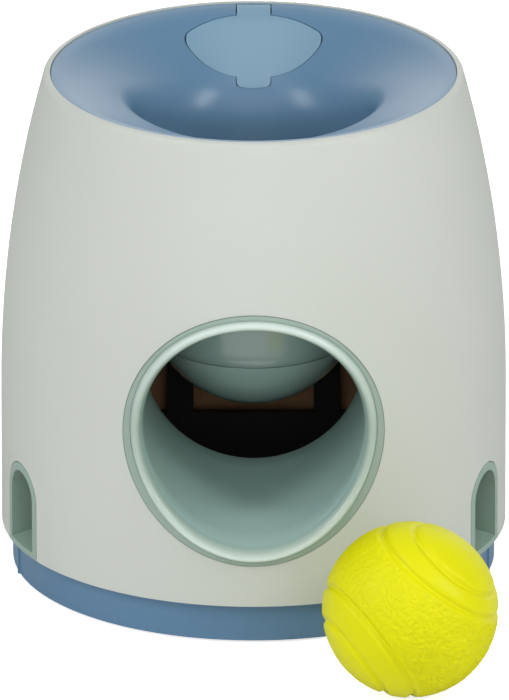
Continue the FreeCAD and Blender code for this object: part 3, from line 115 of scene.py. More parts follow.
def white_world():
    """White where it is seen, bright behind where it is mirrored, and mild light from in front and above."""
    from_front, from_above, mirrored_behind = -0.40, 0.37, 1.5
    world = bpy.data.worlds.new("white_world")
    scene.world = world
    world.use_nodes = True
    tree = world.node_tree
    direction = tree.nodes.new("ShaderNodeTexCoord")
    split = tree.nodes.new("ShaderNodeSeparateXYZ")
    tree.links.new(direction.outputs["Generated"], split.inputs[0])

    def share(axis, strength):
        """Light that grows towards one side: from nothing at right angles to it up to the strength."""
        return worked(tree, "MAXIMUM", worked(tree, "MULTIPLY", split.outputs[axis], strength))
    path = tree.nodes.new("ShaderNodeLightPath")
    mirrored = tree.nodes.new("ShaderNodeMix")
    tree.links.new(path.outputs["Is Glossy Ray"], mirrored.inputs["Factor"])
    tree.links.new(worked(tree, "ADD", share("Y", from_front), share("Z", from_above)), mirrored.inputs["A"])
    tree.links.new(share("Y", mirrored_behind), mirrored.inputs["B"])
    seen = tree.nodes.new("ShaderNodeMix")
    seen.inputs["B"].default_value = 1.0
    tree.links.new(path.outputs["Is Camera Ray"], seen.inputs["Factor"])
    tree.links.new(mirrored.outputs["Result"], seen.inputs["A"])
    light = tree.nodes["Background"]
    light.inputs["Color"].default_value = (1, 1, 1, 1)
    tree.links.new(seen.outputs["Result"], light.inputs["Strength"])


def pale_floor():
    """A white floor that is seen white and still takes the toy's soft shadow."""
    half, tone, seen_glow = 6.0, (236, 236, 236), 0.75
    mesh = bpy.data.meshes.new("floor")
    corners = [(-half, -half, 0), (half, -half, 0), (half, half, 0), (-half, half, 0)]
    mesh.from_pydata(corners, [], [(0, 1, 2, 3)])
    floor = bpy.data.objects.new("floor", mesh)
    scene.collection.objects.link(floor)
    material = bpy.data.materials.new("white_floor")
    material.use_nodes = True
    tree = material.node_tree
    tree.nodes.remove(tree.nodes["Principled BSDF"])
    matt = tree.nodes.new("ShaderNodeBsdfDiffuse")
    matt.inputs["Color"].default_value = colour(*tone)
    glow = tree.nodes.new("ShaderNodeEmission")
    path = tree.nodes.new("ShaderNodeLightPath")
    seen = worked(tree, "MULTIPLY", path.outputs["Is Camera Ray"], seen_glow)
    tree.links.new(seen, glow.inputs["Strength"])
    both = tree.nodes.new("ShaderNodeAddShader")
    tree.links.new(matt.outputs[0], both.inputs[0])
    tree.links.new(glow.outputs[0], both.inputs[1])
    tree.links.new(both.outputs[0], tree.nodes["Material Output"].inputs["Surface"])
    mesh.materials.append(material)


scene.view_settings.view_transform = "Standard"
studio_camera()
soft_light("front_light", (0, -2.0, 1.1), (2.4, 1.5), 11.5)
soft_light("left_light", (-0.9, -0.5, 0.7), (0.25, 0.7), 4.0)
soft_light("right_light", (0.9, -0.5, 0.7), (0.25, 0.7), 4.4)
soft_light("top_light", (0, -0.45, 1.45), (1.2, 0.2), 2.0)
soft_light("rear_light", (0, 1.7, 0.35), (0.6, 0.5), 8.0, mirrored=False)
white_world()
pale_floor()


# Base: the blue foot that closes the body from below, one satin plastic moulding. The four case screws and
# the four screws of the inner frame come up through wells in it.

def moulded(name, tone, roughness, skin_depth, skin_size=0.5, coat=0.0):
    """Moulded plastic: an even tone that drifts a little, and the fine skin that the mould leaves (mm)."""
    darker, lighter, gloss_drift = 0.965, 1.03, 0.04
    material = bpy.data.materials.new(name)
    material.use_nodes = True
    tree = material.node_tree
    shader = tree.nodes["Principled BSDF"]
    shader.inputs["Coat Weight"].default_value = coat
    shader.inputs["Coat Roughness"].default_value = 0.12
    where = tree.nodes.new("ShaderNodeTexCoord")
    slow = tree.nodes.new("ShaderNodeTexNoise")
    slow.inputs["Scale"].default_value = 14.0
    slow.inputs["Detail"].default_value = 2.0
    tree.links.new(where.outputs["Object"], slow.inputs["Vector"])
    drift = tree.nodes.new("ShaderNodeMix")
    drift.data_type = "RGBA"
    low = [value * darker for value in colour(*tone)[:3]] + [1.0]
    high = [min(1.0, value * lighter) for value in colour(*tone)[:3]] + [1.0]
    drift.inputs["A"].default_value = low
    drift.inputs["B"].default_value = high
    tree.links.new(slow.outputs["Fac"], drift.inputs["Factor"])
    tree.links.new(drift.outputs["Result"], shader.inputs["Base Color"])
    fine = tree.nodes.new("ShaderNodeTexNoise")
    fine.inputs["Scale"].default_value = 1 / (skin_size * MM)
    fine.inputs["Detail"].default_value = 3.0
    tree.links.new(where.outputs["Object"], fine.inputs["Vector"])
    gloss = tree.nodes.new("ShaderNodeMapRange")
    gloss.inputs["To Min"].default_value = roughness - gloss_drift
    gloss.inputs["To Max"].default_value = roughness + gloss_drift
    tree.links.new(fine.outputs["Fac"], gloss.inputs["Value"])
    tree.links.new(gloss.outputs["Result"], shader.inputs["Roughness"])
    relief = tree.nodes.new("ShaderNodeBump")
    relief.inputs["Strength"].default_value = 1.0
    relief.inputs["Distance"].default_value = skin_depth * MM
    tree.links.new(fine.outputs["Fac"], relief.inputs["Height"])
    tree.links.new(relief.outputs["Normal"], shader.inputs["Normal"])
    return material


def body_of_node(node):
    """The CAD body that a node belongs to."""
    return nodes[node]["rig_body"]


def softened(node, radius, material, sharp=35):
    """A piece in place of a CAD node: its triangles merged, its flat faces whole, its hard edges rounded."""
    form = bmesh.new()
    form.from_mesh(nodes[node].data)
    bmesh.ops.remove_doubles(form, verts=form.verts, dist=0.002 * MM)
    bmesh.ops.dissolve_limit(form, angle_limit=math.radians(0.2), verts=form.verts, edges=form.edges)
    mesh = bpy.data.meshes.new(node + "_piece")
    form.to_mesh(mesh)
    form.free()
    if "custom_normal" in mesh.attributes:
        mesh.attributes.remove(mesh.attributes["custom_normal"])
    mesh.shade_smooth()
    mesh.set_sharp_from_angle(angle=math.radians(sharp))
    piece = bpy.data.objects.new(node + "_piece", mesh)
    scene.collection.objects.link(piece)
    mesh.materials.clear()
    mesh.materials.append(material)
    edge = piece.modifiers.new("rounded_edges", "BEVEL")
    edge.width = radius * MM
    edge.segments = 2
    edge.limit_method = "ANGLE"
    edge.angle_limit = math.radians(sharp)
    edge.harden_normals = True
    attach(piece, body_of_node(node))
    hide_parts(node)
    return piece


blue_plastic = moulded("blue_plastic", (94, 133, 166), 0.42, 0.006)
softened("base", 0.5, blue_plastic)


# Rubber ring: a soft ring pressed in the groove under the base, so that the toy doesn't slide on a hard
# floor. Short radial ribs on its underside give it grip.

def growing_tree(name, sizes):
    """A geometry tree that starts from the object's own mesh; sizes are its named number inputs."""
    tree = bpy.data.node_groups.new(name, "GeometryNodeTree")
    tree.interface.new_socket("Geometry", in_out="INPUT", socket_type="NodeSocketGeometry")
    for label, value in sizes.items():
        kind = "NodeSocketInt" if isinstance(value, int) else "NodeSocketFloat"
        socket = tree.interface.new_socket(label, in_out="INPUT", socket_type=kind)
        socket.default_value = value
    tree.interface.new_socket("Geometry", in_out="OUTPUT", socket_type="NodeSocketGeometry")
    return tree, tree.nodes.new("NodeGroupInput"), tree.nodes.new("NodeGroupOutput")


def grown(name, mesh, tree, sizes, material):
    """The plain mesh that a geometry tree makes from a start mesh, as a new object."""
    seed = bpy.data.objects.new(name + "_seed", mesh)
    scene.collection.objects.link(seed)
    modifier = seed.modifiers.new(tree.name, "NODES")
    modifier.node_group = tree
    for item in tree.interface.items_tree:
        if item.in_out == "INPUT" and item.name in sizes:
            modifier[item.identifier] = sizes[item.name]
    result = seed.evaluated_get(bpy.context.evaluated_depsgraph_get())
    plain = bpy.data.meshes.new_from_object(result)
    plain.name = name
    bpy.data.objects.remove(seed)
    if not plain.materials:
        plain.materials.append(material)
    piece = bpy.data.objects.new(name, plain)
    scene.collection.objects.link(piece)
    return piece


def closing(tree, source, sink, material):
    """Ends a tree with real geometry and its material."""
    real = tree.nodes.new("GeometryNodeRealizeInstances")
    paint = tree.nodes.new("GeometryNodeSetMaterial")
    paint.inputs["Material"].default_value = material
    tree.links.new(source, real.inputs[0])
    tree.links.new(real.outputs[0], paint.inputs["Geometry"])
    tree.links.new(paint.outputs["Geometry"], sink.inputs[0])


def ring_tree(sizes, material):
    """A ring swept round a circle, and ribs set out along the same circle under it."""
    tree, start, end = growing_tree("ribbed_ring", sizes)
    add, link = tree.nodes.new, tree.links.new
    path = add("GeometryNodeCurvePrimitiveCircle")
    path.inputs["Resolution"].default_value = 256
    link(start.outputs["Middle Radius"], path.inputs["Radius"])
    section = add("GeometryNodeCurvePrimitiveQuadrilateral")
    link(start.outputs["Width"], section.inputs["Width"])
    link(start.outputs["Body Height"], section.inputs["Height"])
    round_section = add("GeometryNodeFilletCurve")
    round_section.mode = "POLY"
    round_section.inputs["Count"].default_value = 3
    link(start.outputs["Edge"], round_section.inputs["Radius"])
    link(section.outputs[0], round_section.inputs["Curve"])
    body = add("GeometryNodeCurveToMesh")
    link(path.outputs[0], body.inputs["Curve"])
    link(round_section.outputs[0], body.inputs["Profile Curve"])
    lifted = add("GeometryNodeTransform")
    height = add("ShaderNodeCombineXYZ")
    link(start.outputs["Body Middle"], height.inputs["Z"])
    link(body.outputs[0], lifted.inputs["Geometry"])
    link(height.outputs[0], lifted.inputs["Translation"])
    spots = add("GeometryNodeCurvePrimitiveCircle")
    link(start.outputs["Ribs"], spots.inputs["Resolution"])
    link(start.outputs["Middle Radius"], spots.inputs["Radius"])
    points = add("GeometryNodeCurveToPoints")
    points.mode = "EVALUATED"
    link(spots.outputs[0], points.inputs["Curve"])
    rib = add("GeometryNodeMeshCube")
    rib_size = add("ShaderNodeCombineXYZ")
    link(start.outputs["Rib Thickness"], rib_size.inputs["X"])
    link(start.outputs["Rib Length"], rib_size.inputs["Y"])
    link(start.outputs["Rib Height"], rib_size.inputs["Z"])
    link(rib_size.outputs[0], rib.inputs["Size"])
    place = add("GeometryNodeInstanceOnPoints")
    link(points.outputs["Points"], place.inputs["Points"])
    link(rib.outputs["Mesh"], place.inputs["Instance"])
    where = add("GeometryNodeInputPosition")
    aim = add("FunctionNodeAlignEulerToVector")
    aim.axis = "Y"
    aim.pivot_axis = "Z"
    link(where.outputs[0], aim.inputs["Vector"])
    link(aim.outputs[0], place.inputs["Rotation"])
    lowered = add("GeometryNodeTransform")
    foot = add("ShaderNodeCombineXYZ")
    link(start.outputs["Rib Middle"], foot.inputs["Z"])
    link(place.outputs[0], lowered.inputs["Geometry"])
    link(foot.outputs[0], lowered.inputs["Translation"])
    both = add("GeometryNodeJoinGeometry")
    link(lifted.outputs[0], both.inputs[0])
    link(lowered.outputs[0], both.inputs[0])
    closing(tree, both.outputs[0], end, material)
    return tree


ring_rubber = moulded("ring_rubber", (60, 64, 68), 0.85, 0.03)
ring_sizes = {"Middle Radius": 68.0 * MM, "Width": 12.0 * MM, "Body Height": 1.9 * MM,
              "Body Middle": 1.45 * MM, "Edge": 0.4 * MM, "Ribs": 90, "Rib Thickness": 1.6 * MM,
              "Rib Length": 10.4 * MM, "Rib Height": 0.7 * MM, "Rib Middle": 0.35 * MM}
ring = grown("rubber_ring", bpy.data.meshes.new("ring_start"), ring_tree(ring_sizes, ring_rubber),
             ring_sizes, ring_rubber)
ring.data.set_sharp_from_angle(angle=math.radians(40))
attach(ring, "body")
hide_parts("non_slip_ring")


# Mechanism frame: one black moulding that is screwed to the base and carries the cup. Its rear panel with the
# open window shows behind the cup through the port.

black_plastic = moulded("black_plastic", (38, 37, 36), 0.45, 0.008)
softened("mechanism_frame", 0.5, black_plastic)


# Treat hopper and ramp: brown mouldings. Treats lie in the hopper over the drum, and slide down the ramp to
# the outlets. The hopper is screwed to the frame, and the ramp stands on the base.

brown_plastic = moulded("brown_plastic", (190, 145, 104), 0.5, 0.008)
softened("treat_hopper", 0.3, brown_plastic)
softened("treat_ramp", 0.3, brown_plastic)


# Dosing drum and bushes: a sage moulding with one pocket for a dose of treats, and two pairs of pale slippery
# bushes pressed in the frame, one pair for the drum and one for the cup.

drum_plastic = moulded("drum_plastic", (165, 192, 180), 0.4, 0.006)
softened("dosing_drum", 0.5, drum_plastic)
bush_plastic = moulded("bush_plastic", (226, 224, 214), 0.35, 0.003)
for node in ("cup_bushes", "drum_bushes"):
    softened(node, 0.25, bush_plastic)


# Linkage: the drum's axle, the cup's stub pins and the lever pins are bright drawn steel, as is the weight
# that returns the cup. The levers, the link and the weight's arm are black mouldings.

def drawn_steel(name, roughness, tone=(176, 178, 182)):
    """Bare metal with a finer skin than plastic has."""
    material = moulded(name, tone, roughness, 0.002, skin_size=0.2)
    material.node_tree.nodes["Principled BSDF"].inputs["Metallic"].default_value = 1.0
    return material


bright_steel = drawn_steel("bright_steel", 0.25)
for node in ("drum_axle", "cup_trunnions", "cup_lever_pin", "drum_lever_pin"):
    softened(node, 0.2, bright_steel)
softened("counterweight", 0.3, bright_steel)
for node in ("cup_lever", "drive_link", "drum_lever", "counterweight_arm"):
    softened(node, 0.4, black_plastic)


# Tipping cup: a glossy slate bowl that the ball drops in, one moulding. It hangs between the frame's ears on
# its two stub pins, and a crease runs round it where the wall ends over the bowl.

def with_step(material, low, middle, radius):
    """A bump that draws the wall upright and ends it in a small cove over a crease (mm)."""
    cove_height, cove_depth, crease_half = 2.2, 3.0, 0.1
    tree = material.node_tree
    shader = tree.nodes["Principled BSDF"]
    where = tree.nodes.new("ShaderNodeTexCoord")
    split = tree.nodes.new("ShaderNodeSeparateXYZ")
    tree.links.new(where.outputs["Object"], split.inputs[0])
    height = split.outputs["Z"]
    sunk = worked(tree, "POWER", worked(tree, "SUBTRACT", middle * MM, height), 2.0)
    upright = worked(tree, "DIVIDE", sunk, 2 * radius * MM)
    above = worked(tree, "DIVIDE", worked(tree, "SUBTRACT", low * MM, height), cove_height * MM)
    cove = worked(tree, "MULTIPLY", worked(tree, "EXPONENT", above), cove_depth * MM)
    edge = tree.nodes.new("ShaderNodeMapRange")
    edge.inputs["From Min"].default_value = (low - 0.05 - crease_half) * MM
    edge.inputs["From Max"].default_value = (low - 0.05 + crease_half) * MM
    tree.links.new(height, edge.inputs["Value"])
    wall = worked(tree, "MULTIPLY", worked(tree, "ADD", upright, cove), edge.outputs["Result"])
    step = tree.nodes.new("ShaderNodeBump")
    step.inputs["Distance"].default_value = 1.0
    tree.links.new(wall, step.inputs["Height"])
    skin = shader.inputs["Normal"].links[0].from_node
    tree.links.new(step.outputs["Normal"], skin.inputs["Normal"])


cup_plastic = moulded("cup_plastic", (158, 182, 178), 0.22, 0.001, coat=1.0)
cup_plastic.node_tree.nodes["Principled BSDF"].inputs["Specular IOR Level"].default_value = 1.0
with_step(cup_plastic, low=83.5, middle=96.5, radius=36.5)
softened("tipping_cup", 0.5, cup_plastic)


# Hinge pin of the hatch: a short rod of blackened steel, so that it doesn't shine through the slits beside
# the hatch. It is pressed in the funnel's rim, and the hatch turns on it.

black_steel = drawn_steel("black_steel", 0.5, (52, 54, 58))
black_steel.node_tree.nodes["Principled BSDF"].inputs["Metallic"].default_value = 0.6
softened("lid_hinge_pin", 0.15, black_steel)


# Outlets: two satin sage mouldings, one each side, where the treats come out. Each is an arch with a short
# channel behind it, and clips in its notch of the shell from within.

outlet_plastic = moulded("outlet_plastic", (150, 175, 162), 0.4, 0.006)
for node in ("right_outlet", "left_outlet"):
    softened(node, 0.35, outlet_plastic)


# Port lining: a slanted sage tube with a rolled lip that lies on the round shell, one smooth moulding. The
# lip has a thin flat foot, a bead and a long soft round into the tube.

def shell_radius(height):
    """Radius of the shell's outer face at a height, in mm."""
    skirt, straight, bend = 87.0, 66.0, 420.0
    if height <= straight:
        return skirt
    return skirt - bend + math.sqrt(bend ** 2 - (height - straight) ** 2)


PORT_SLOPE = math.radians(10.9)
PORT_MIDDLE = Vector((0, -87, 75))
TUNNEL_END, TUNNEL_CUT, TUNNEL_ROOF, TUNNEL_ROOF_Z = -29.5, 86.0, -52.0, 125.0
LIP, PAINTED_FOOT_SHADOW, TUNNEL = 0, 1, 2


def beside_port(turn, radius, depth, lean=1.0):
    """A point round the port's axis, at a depth along it from the middle of the port, in mm.

    The bore leans by the port's slope. The foot of the lip is round as seen from in front, and doesn't lean.
    """
    slope, foot_stretch = PORT_SLOPE * lean, 1 + 0.011 * (1 - lean)
    across = Vector((1, 0, 0)) * math.cos(turn)
    upward = Vector((0, -math.sin(slope), math.cos(slope))) * math.sin(turn) * foot_stretch
    inward = Vector((0, math.cos(slope), math.sin(slope)))
    return PORT_MIDDLE + (across + upward) * radius + inward * depth


def depth_of_shell(turn, radius, lean=1.0):
    """Where a line beside the port's axis goes through the shell's outer face."""
    near, far = -30.0, 45.0
    for _ in range(40):
        middle = (near + far) / 2
        point = beside_port(turn, radius, middle, lean)
        if math.hypot(point.x, point.y) > shell_radius(point.z):
            near = middle
        else:
            far = middle
    return (near + far) / 2


def depth_of_end(turn, radius):
    """Where the tube is cut off at the rear: upright below, and leaning forward above to clear the cup."""
    start = beside_port(turn, radius, 0)
    inward = beside_port(turn, radius, 1) - start
    upright = (TUNNEL_END - start.y) / inward.y
    if start.z + upright * inward.z <= TUNNEL_CUT:
        return upright
    lean = Vector((0, TUNNEL_ROOF_Z - TUNNEL_CUT, TUNNEL_END - TUNNEL_ROOF))
    corner = Vector((0, TUNNEL_END, TUNNEL_CUT))
    return (corner - start).dot(lean) / inward.dot(lean)


def tunnel_mesh():
    """The lining as rings of points: the lip's profile, the bore, the rear end and the outside.

    Each point of the lip is a radius, a rise over the shell, and how far it leans with the bore.
    """
    bore, outside, foot, steps = 38.0, 40.4, 44.6, 256
    lip = [(foot + 0.15, 0.05, 0), (foot - 0.12, 0.3, 0), (44.4, 0.5, 0), (44.15, 0.62, 0.1),
           (43.2, 0.72, 0.5), (42.5, 0.75, 0.9), (42.3, 0.7, 1), (42.22, 0.5, 1), (42.14, 0.5, 1),
           (42.06, 0.75, 1), (42.0, 1.2, 1), (41.9, 1.7, 1), (41.68, 2.1, 1), (41.35, 2.4, 1),
           (40.95, 2.52, 1), (40.5, 2.45, 1), (40.05, 2.2, 1), (39.62, 1.75, 1), (39.25, 1.15, 1),
           (38.93, 0.45, 1), (38.65, -0.3, 1), (38.42, -1.1, 1)]
    round_depth, round_drift = 2.2, 0.9
    highlight_point, highlight_spread, highlight_least = 13.2, 4.2, 0.3
    form = bmesh.new()
    rings = []
    for i in range(steps):
        turn = 2 * math.pi * i / steps
        line = [beside_port(turn, radius, depth_of_shell(turn, radius, lean) - rise, lean)
                for radius, rise, lean in lip]
        last = depth_of_shell(turn, bore) + round_depth - round_drift * math.sin(turn)
        end = depth_of_end(turn, bore)
        # The bore, its rear end with small rounded edges, and the outside back to the lip.
        line += [beside_port(turn, bore + 0.12, last - 0.06), beside_port(turn, bore, last + 0.1)]
        line += [beside_port(turn, bore, last + 0.1 + (end - 0.5 - last) * k / 8) for k in range(1, 9)]
        line += [beside_port(turn, bore + 0.12, depth_of_end(turn, bore + 0.12) - 0.12),
                 beside_port(turn, bore + 0.4, depth_of_end(turn, bore + 0.4)),
                 beside_port(turn, outside - 0.4, depth_of_end(turn, outside - 0.4)),
                 beside_port(turn, outside - 0.12, depth_of_end(turn, outside - 0.12) - 0.12),
                 beside_port(turn, outside, depth_of_end(turn, outside) - 0.4)]
        line += [beside_port(turn, outside, depth_of_shell(turn, outside) - 0.15),
                 beside_port(turn, foot - 0.2, depth_of_shell(turn, foot - 0.2, 0) - 0.15, 0)]
        rings.append([form.verts.new(point * MM) for point in line])
    count = len(rings[0])
    # The foot's outer edge gets the darker material: a painted shadow line where the lip meets the shell.
    for i in range(steps):
        here, beyond = rings[i], rings[(i + 1) % steps]
        for k in range(count):
            face = form.faces.new((here[k], here[(k + 1) % count], beyond[(k + 1) % count], beyond[k]))
            face.material_index = PAINTED_FOOT_SHADOW if k == 0 else TUNNEL if k >= len(lip) - 2 else LIP
    bmesh.ops.recalc_face_normals(form, faces=form.faces)
    mesh = bpy.data.meshes.new("port_lining")
    form.to_mesh(mesh)
    form.free()
    # The crest attribute says where a highlight is painted on the lip: along its crest, most above and below,
    # where light from above catches the bead.
    painted_highlight_band = [math.exp(-((k - highlight_point) / highlight_spread) ** 2) for k in range(count)]
    upright = [highlight_least + (1 - highlight_least) * abs(math.sin(2 * math.pi * i / steps)) for i in range(steps)]
    crest = mesh.attributes.new("crest", "FLOAT", "POINT")
    crest.data.foreach_set("value", [value * share for share in upright for value in painted_highlight_band])
    mesh.shade_smooth()
    mesh.set_sharp_from_angle(angle=math.radians(50))
    return mesh


lip_plastic = moulded("lip_plastic", (153, 174, 162), 0.3, 0.001, coat=0.2)
# A painted highlight: a lighter sage mixed into the lip's colour as far as the crest attribute goes.
painted_highlight = lip_plastic.node_tree.nodes.new("ShaderNodeMix")
painted_highlight.data_type = "RGBA"
painted_highlight.inputs["B"].default_value = colour(216, 232, 225)
crest = lip_plastic.node_tree.nodes.new("ShaderNodeAttribute")
crest.attribute_name = "crest"
skin_tone = lip_plastic.node_tree.nodes["Principled BSDF"].inputs["Base Color"]
lip_plastic.node_tree.links.new(crest.outputs["Fac"], painted_highlight.inputs["Factor"])
lip_plastic.node_tree.links.new(skin_tone.links[0].from_socket, painted_highlight.inputs["A"])
lip_plastic.node_tree.links.new(painted_highlight.outputs["Result"], skin_tone)
lining = bpy.data.objects.new("port_lining", tunnel_mesh())
scene.collection.objects.link(lining)
lining.data.materials.append(lip_plastic)
# Darker sage for the foot's outer edge: a painted shadow line against the shell.
lining.data.materials.append(moulded("painted_foot_shadow", (118, 134, 124), 0.6, 0.002))
lining.data.materials.append(moulded("tunnel_plastic", (146, 173, 168), 0.34, 0.0005))
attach(lining, "body")
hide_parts("exit_tunnel")


# Shell: the pale grey outer body, one thin moulding with a satin skin and a rounded rim. It stands on the
# base, and the funnel is screwed to lugs inside its rim.

shell_plastic = moulded("shell_plastic", (206, 211, 204), 0.5, 0.006)
softened("outer_shell", 0.4, shell_plastic)


# Funnel: the dished blue top, one moulding that is screwed to the shell's lugs. The ball is dropped in it
# and rolls to the throat. The hatch lies in its rear slope, in an opening with rounded corners.

DISH_TOP, DISH_RIM, DISH_EDGE, LIP_ARC = 177.5, 69.4, 69.6, 13.0
THROAT, THROAT_Y, THROAT_END = 42.0, -4.0, 131.0
HINGE_Y, HINGE_Z = 66.8, 176.0
UNDER_DISH, OVER_DISH = 120, 185


def dish_sizes(azimuth):
    """Depth, shoulder, reach to the rim and slope of the dish in one direction from the throat's middle."""
    side, across = math.sin(azimuth), math.cos(azimuth)

    def blended(front, flank, rear):
        return (front + rear) / 2 + (rear - front) / 2 * side + (flank - (front + rear) / 2) * across ** 2
    depth, shoulder = blended(17.0, 13.0, 35.5), blended(12.0, 6.0, 23.0)
    reach = -THROAT_Y * side + math.sqrt(DISH_RIM ** 2 - (THROAT_Y * across) ** 2)
    run, fall = reach - THROAT - shoulder, depth - LIP_ARC
    slope = math.atan2(fall, run) + math.asin((LIP_ARC - shoulder) / math.hypot(run, fall))
    return depth, shoulder, reach, slope


def dish_height(x, y):
    """Height of the dish's surface over a point of the plan, in mm."""
    away = math.hypot(x, y - THROAT_Y)
    depth, shoulder, reach, slope = dish_sizes(math.atan2(y - THROAT_Y, x))
    bend = THROAT + shoulder * (1 - math.sin(slope))
    if away > reach:
        return DISH_TOP
    if away > reach - LIP_ARC * math.sin(slope):
        return DISH_TOP - LIP_ARC + math.sqrt(LIP_ARC ** 2 - (reach - away) ** 2)
    if away > bend:
        return DISH_TOP - depth + shoulder * math.cos(slope) + (away - bend) * math.tan(slope)
    return DISH_TOP - depth + math.sqrt(max(0, shoulder ** 2 - (THROAT + shoulder - away) ** 2))


def dish_line(azimuth, under):
    """Points (radius, height) down the dish in one direction, some way under its surface."""
    depth, shoulder, reach, slope = dish_sizes(azimuth)
    lip = [slope * k / 10 for k in range(11)]
    bend = [slope + (math.pi / 2 - slope) * k / 14 for k in range(15)]
    line = [(reach - (LIP_ARC - under) * math.sin(turn),
             DISH_TOP - LIP_ARC + (LIP_ARC - under) * math.cos(turn)) for turn in lip]
    low = [(THROAT + shoulder - (shoulder - under) * math.sin(turn),
            DISH_TOP - depth + (shoulder - under) * math.cos(turn)) for turn in bend]
    for k in range(1, 9):
        line.append((line[10][0] + (low[0][0] - line[10][0]) * k / 9,
                     line[10][1] + (low[0][1] - line[10][1]) * k / 9))
    line += low
    for k in (1, 2, 3):
        line.append((THROAT + under, low[-1][1] + (THROAT_END - low[-1][1]) * k / 3))
    return line


def dish_band(name, upper, lower, rim):
    """A closed layer between two depths under the dish's surface, out to a rim."""
    steps = 288
    form = bmesh.new()
    rings = []
    for i in range(steps):
        azimuth = 2 * math.pi * (i + 0.5) / steps
        reach = dish_sizes(azimuth)[2] + rim
        top = dish_line(azimuth, upper)
        line = [(reach, top[0][1] - 0.12), (reach - 0.12, top[0][1])] + top
        line += reversed(dish_line(azimuth, lower))
        line.append((reach, DISH_TOP - lower))
        across, along = math.cos(azimuth), math.sin(azimuth)
        rings.append([form.verts.new(Vector((r * across, THROAT_Y + r * along, z)) * MM) for r, z in line])
    count = len(rings[0])
    for i in range(steps):
        here, beyond = rings[i], rings[(i + 1) % steps]
        for k in range(count):
            form.faces.new((here[k], beyond[k], beyond[(k + 1) % count], here[(k + 1) % count]))
    bmesh.ops.recalc_face_normals(form, faces=form.faces)
    mesh = bpy.data.meshes.new(name)
    form.to_mesh(mesh)
    form.free()
    band = bpy.data.objects.new(name, mesh)
    scene.collection.objects.link(band)
    return band


def hatch_outline(inset, neck, neck_end):
    """The hatch seen from above: front tab, belly, rounded corner, rear arc and the neck to the hinge."""
    tilt = math.radians(44.0)
    half, corner = 25.0 - inset, 12.9
    belly, belly_drop = 18.7 - inset, 22.4 - inset
    tab, front, tab_front, tab_round = 6.2 - inset, 27.4 - inset, 31.3 - inset, 2.0
    rear_arc, rear_middle, rounding = 34.1 - inset, 29.1, 3.2

    def on_dish(u, v):
        """A point of the sloping hatch drawing, moved square to it until it lies on the dish."""
        low, high = -12.0, 12.0
        for _ in range(30):
            t = (low + high) / 2
            y = HINGE_Y - v * math.cos(tilt) - t * math.sin(tilt)
            if HINGE_Z - v * math.sin(tilt) + t * math.cos(tilt) < dish_height(u, y):
                low = t
            else:
                high = t
        return Vector((u, y))
    # The belly is an arc through three points: the tab's root, the belly's middle and the corner.
    ax, ay, bx, by = half - tab, corner - front, belly - tab, belly_drop - front
    twice = 2 * (ax * by - ay * bx)
    cx = (by * (ax * ax + ay * ay) - ay * (bx * bx + by * by)) / twice
    cy = (ax * (bx * bx + by * by) - bx * (ax * ax + ay * ay)) / twice
    radius = math.hypot(cx, cy)
    start, finish = math.atan2(-cy, -cx), math.atan2(ay - cy, ax - cx)
    belly_turns = [start + (finish - start) * k / 60 for k in range(61)]
    belly_line = [on_dish(tab + cx + radius * math.cos(a), front + cy + radius * math.sin(a))
                  for a in belly_turns]
    # The corner's round rolls along the rear arc until it touches the belly.
    low, high = 0.3, 1.4
    for _ in range(40):
        turn = (low + high) / 2
        middle = Vector((0, rear_middle)) + Vector((math.cos(turn), math.sin(turn))) * (rear_arc - rounding)
        touch = min(range(61), key=lambda k: (belly_line[k] - middle).length)
        inside = middle.x < belly_line[touch].x or middle.y > belly_line[touch].y
        if inside and (belly_line[touch] - middle).length > rounding:
            high = turn
        else:
            low = turn
    aim = math.atan2(belly_line[touch].y - middle.y, belly_line[touch].x - middle.x)
    right = [on_dish(tab - tab_round * (1 - math.sin(a)), tab_front - tab_round * (1 - math.cos(a)))
             for a in [math.pi / 2 * k / 6 for k in range(7)]]
    right += belly_line[:touch]
    right += [middle + Vector((math.cos(aim + (turn - aim) * k / 8), math.sin(aim + (turn - aim) * k / 8)))
              * rounding for k in range(9)]
    last = math.acos(neck / rear_arc)
    right += [Vector((0, rear_middle)) + Vector((math.cos(a), math.sin(a))) * rear_arc
              for a in [turn + (last - turn) * k / 20 for k in range(1, 21)]]
    right.append(Vector((neck, neck_end)))
    return right + [Vector((-point.x, point.y)) for point in reversed(right)]


def column(name, outline, bottom, top):
    """A closed upright prism on an outline."""
    form = bmesh.new()
    low = [form.verts.new((point.x * MM, point.y * MM, bottom * MM)) for point in outline]
    high = [form.verts.new((point.x * MM, point.y * MM, top * MM)) for point in outline]
    form.faces.new(low)
    form.faces.new(high)
    for k in range(len(outline)):
        after = (k + 1) % len(outline)
        form.faces.new((low[k], low[after], high[after], high[k]))
    bmesh.ops.recalc_face_normals(form, faces=form.faces)
    mesh = bpy.data.meshes.new(name)
    form.to_mesh(mesh)
    form.free()
    prism = bpy.data.objects.new(name, mesh)
    scene.collection.objects.link(prism)
    return prism


def carved(name, stock, tool, way, material):
    """The stock with the tool cut from it, or only where both are, as a plain piece; both are used up."""
    cut = stock.modifiers.new("cut", "BOOLEAN")
    cut.object = tool
    cut.operation = way
    cut.solver = "EXACT"
    plain = bpy.data.meshes.new_from_object(stock.evaluated_get(bpy.context.evaluated_depsgraph_get()))
    bpy.data.objects.remove(stock)
    bpy.data.objects.remove(tool)
    plain.name = name
    plain.shade_smooth()
    plain.set_sharp_from_angle(angle=math.radians(32))
    plain.materials.clear()
    plain.materials.append(material)
    piece = bpy.data.objects.new(name, plain)
    scene.collection.objects.link(piece)
    return piece


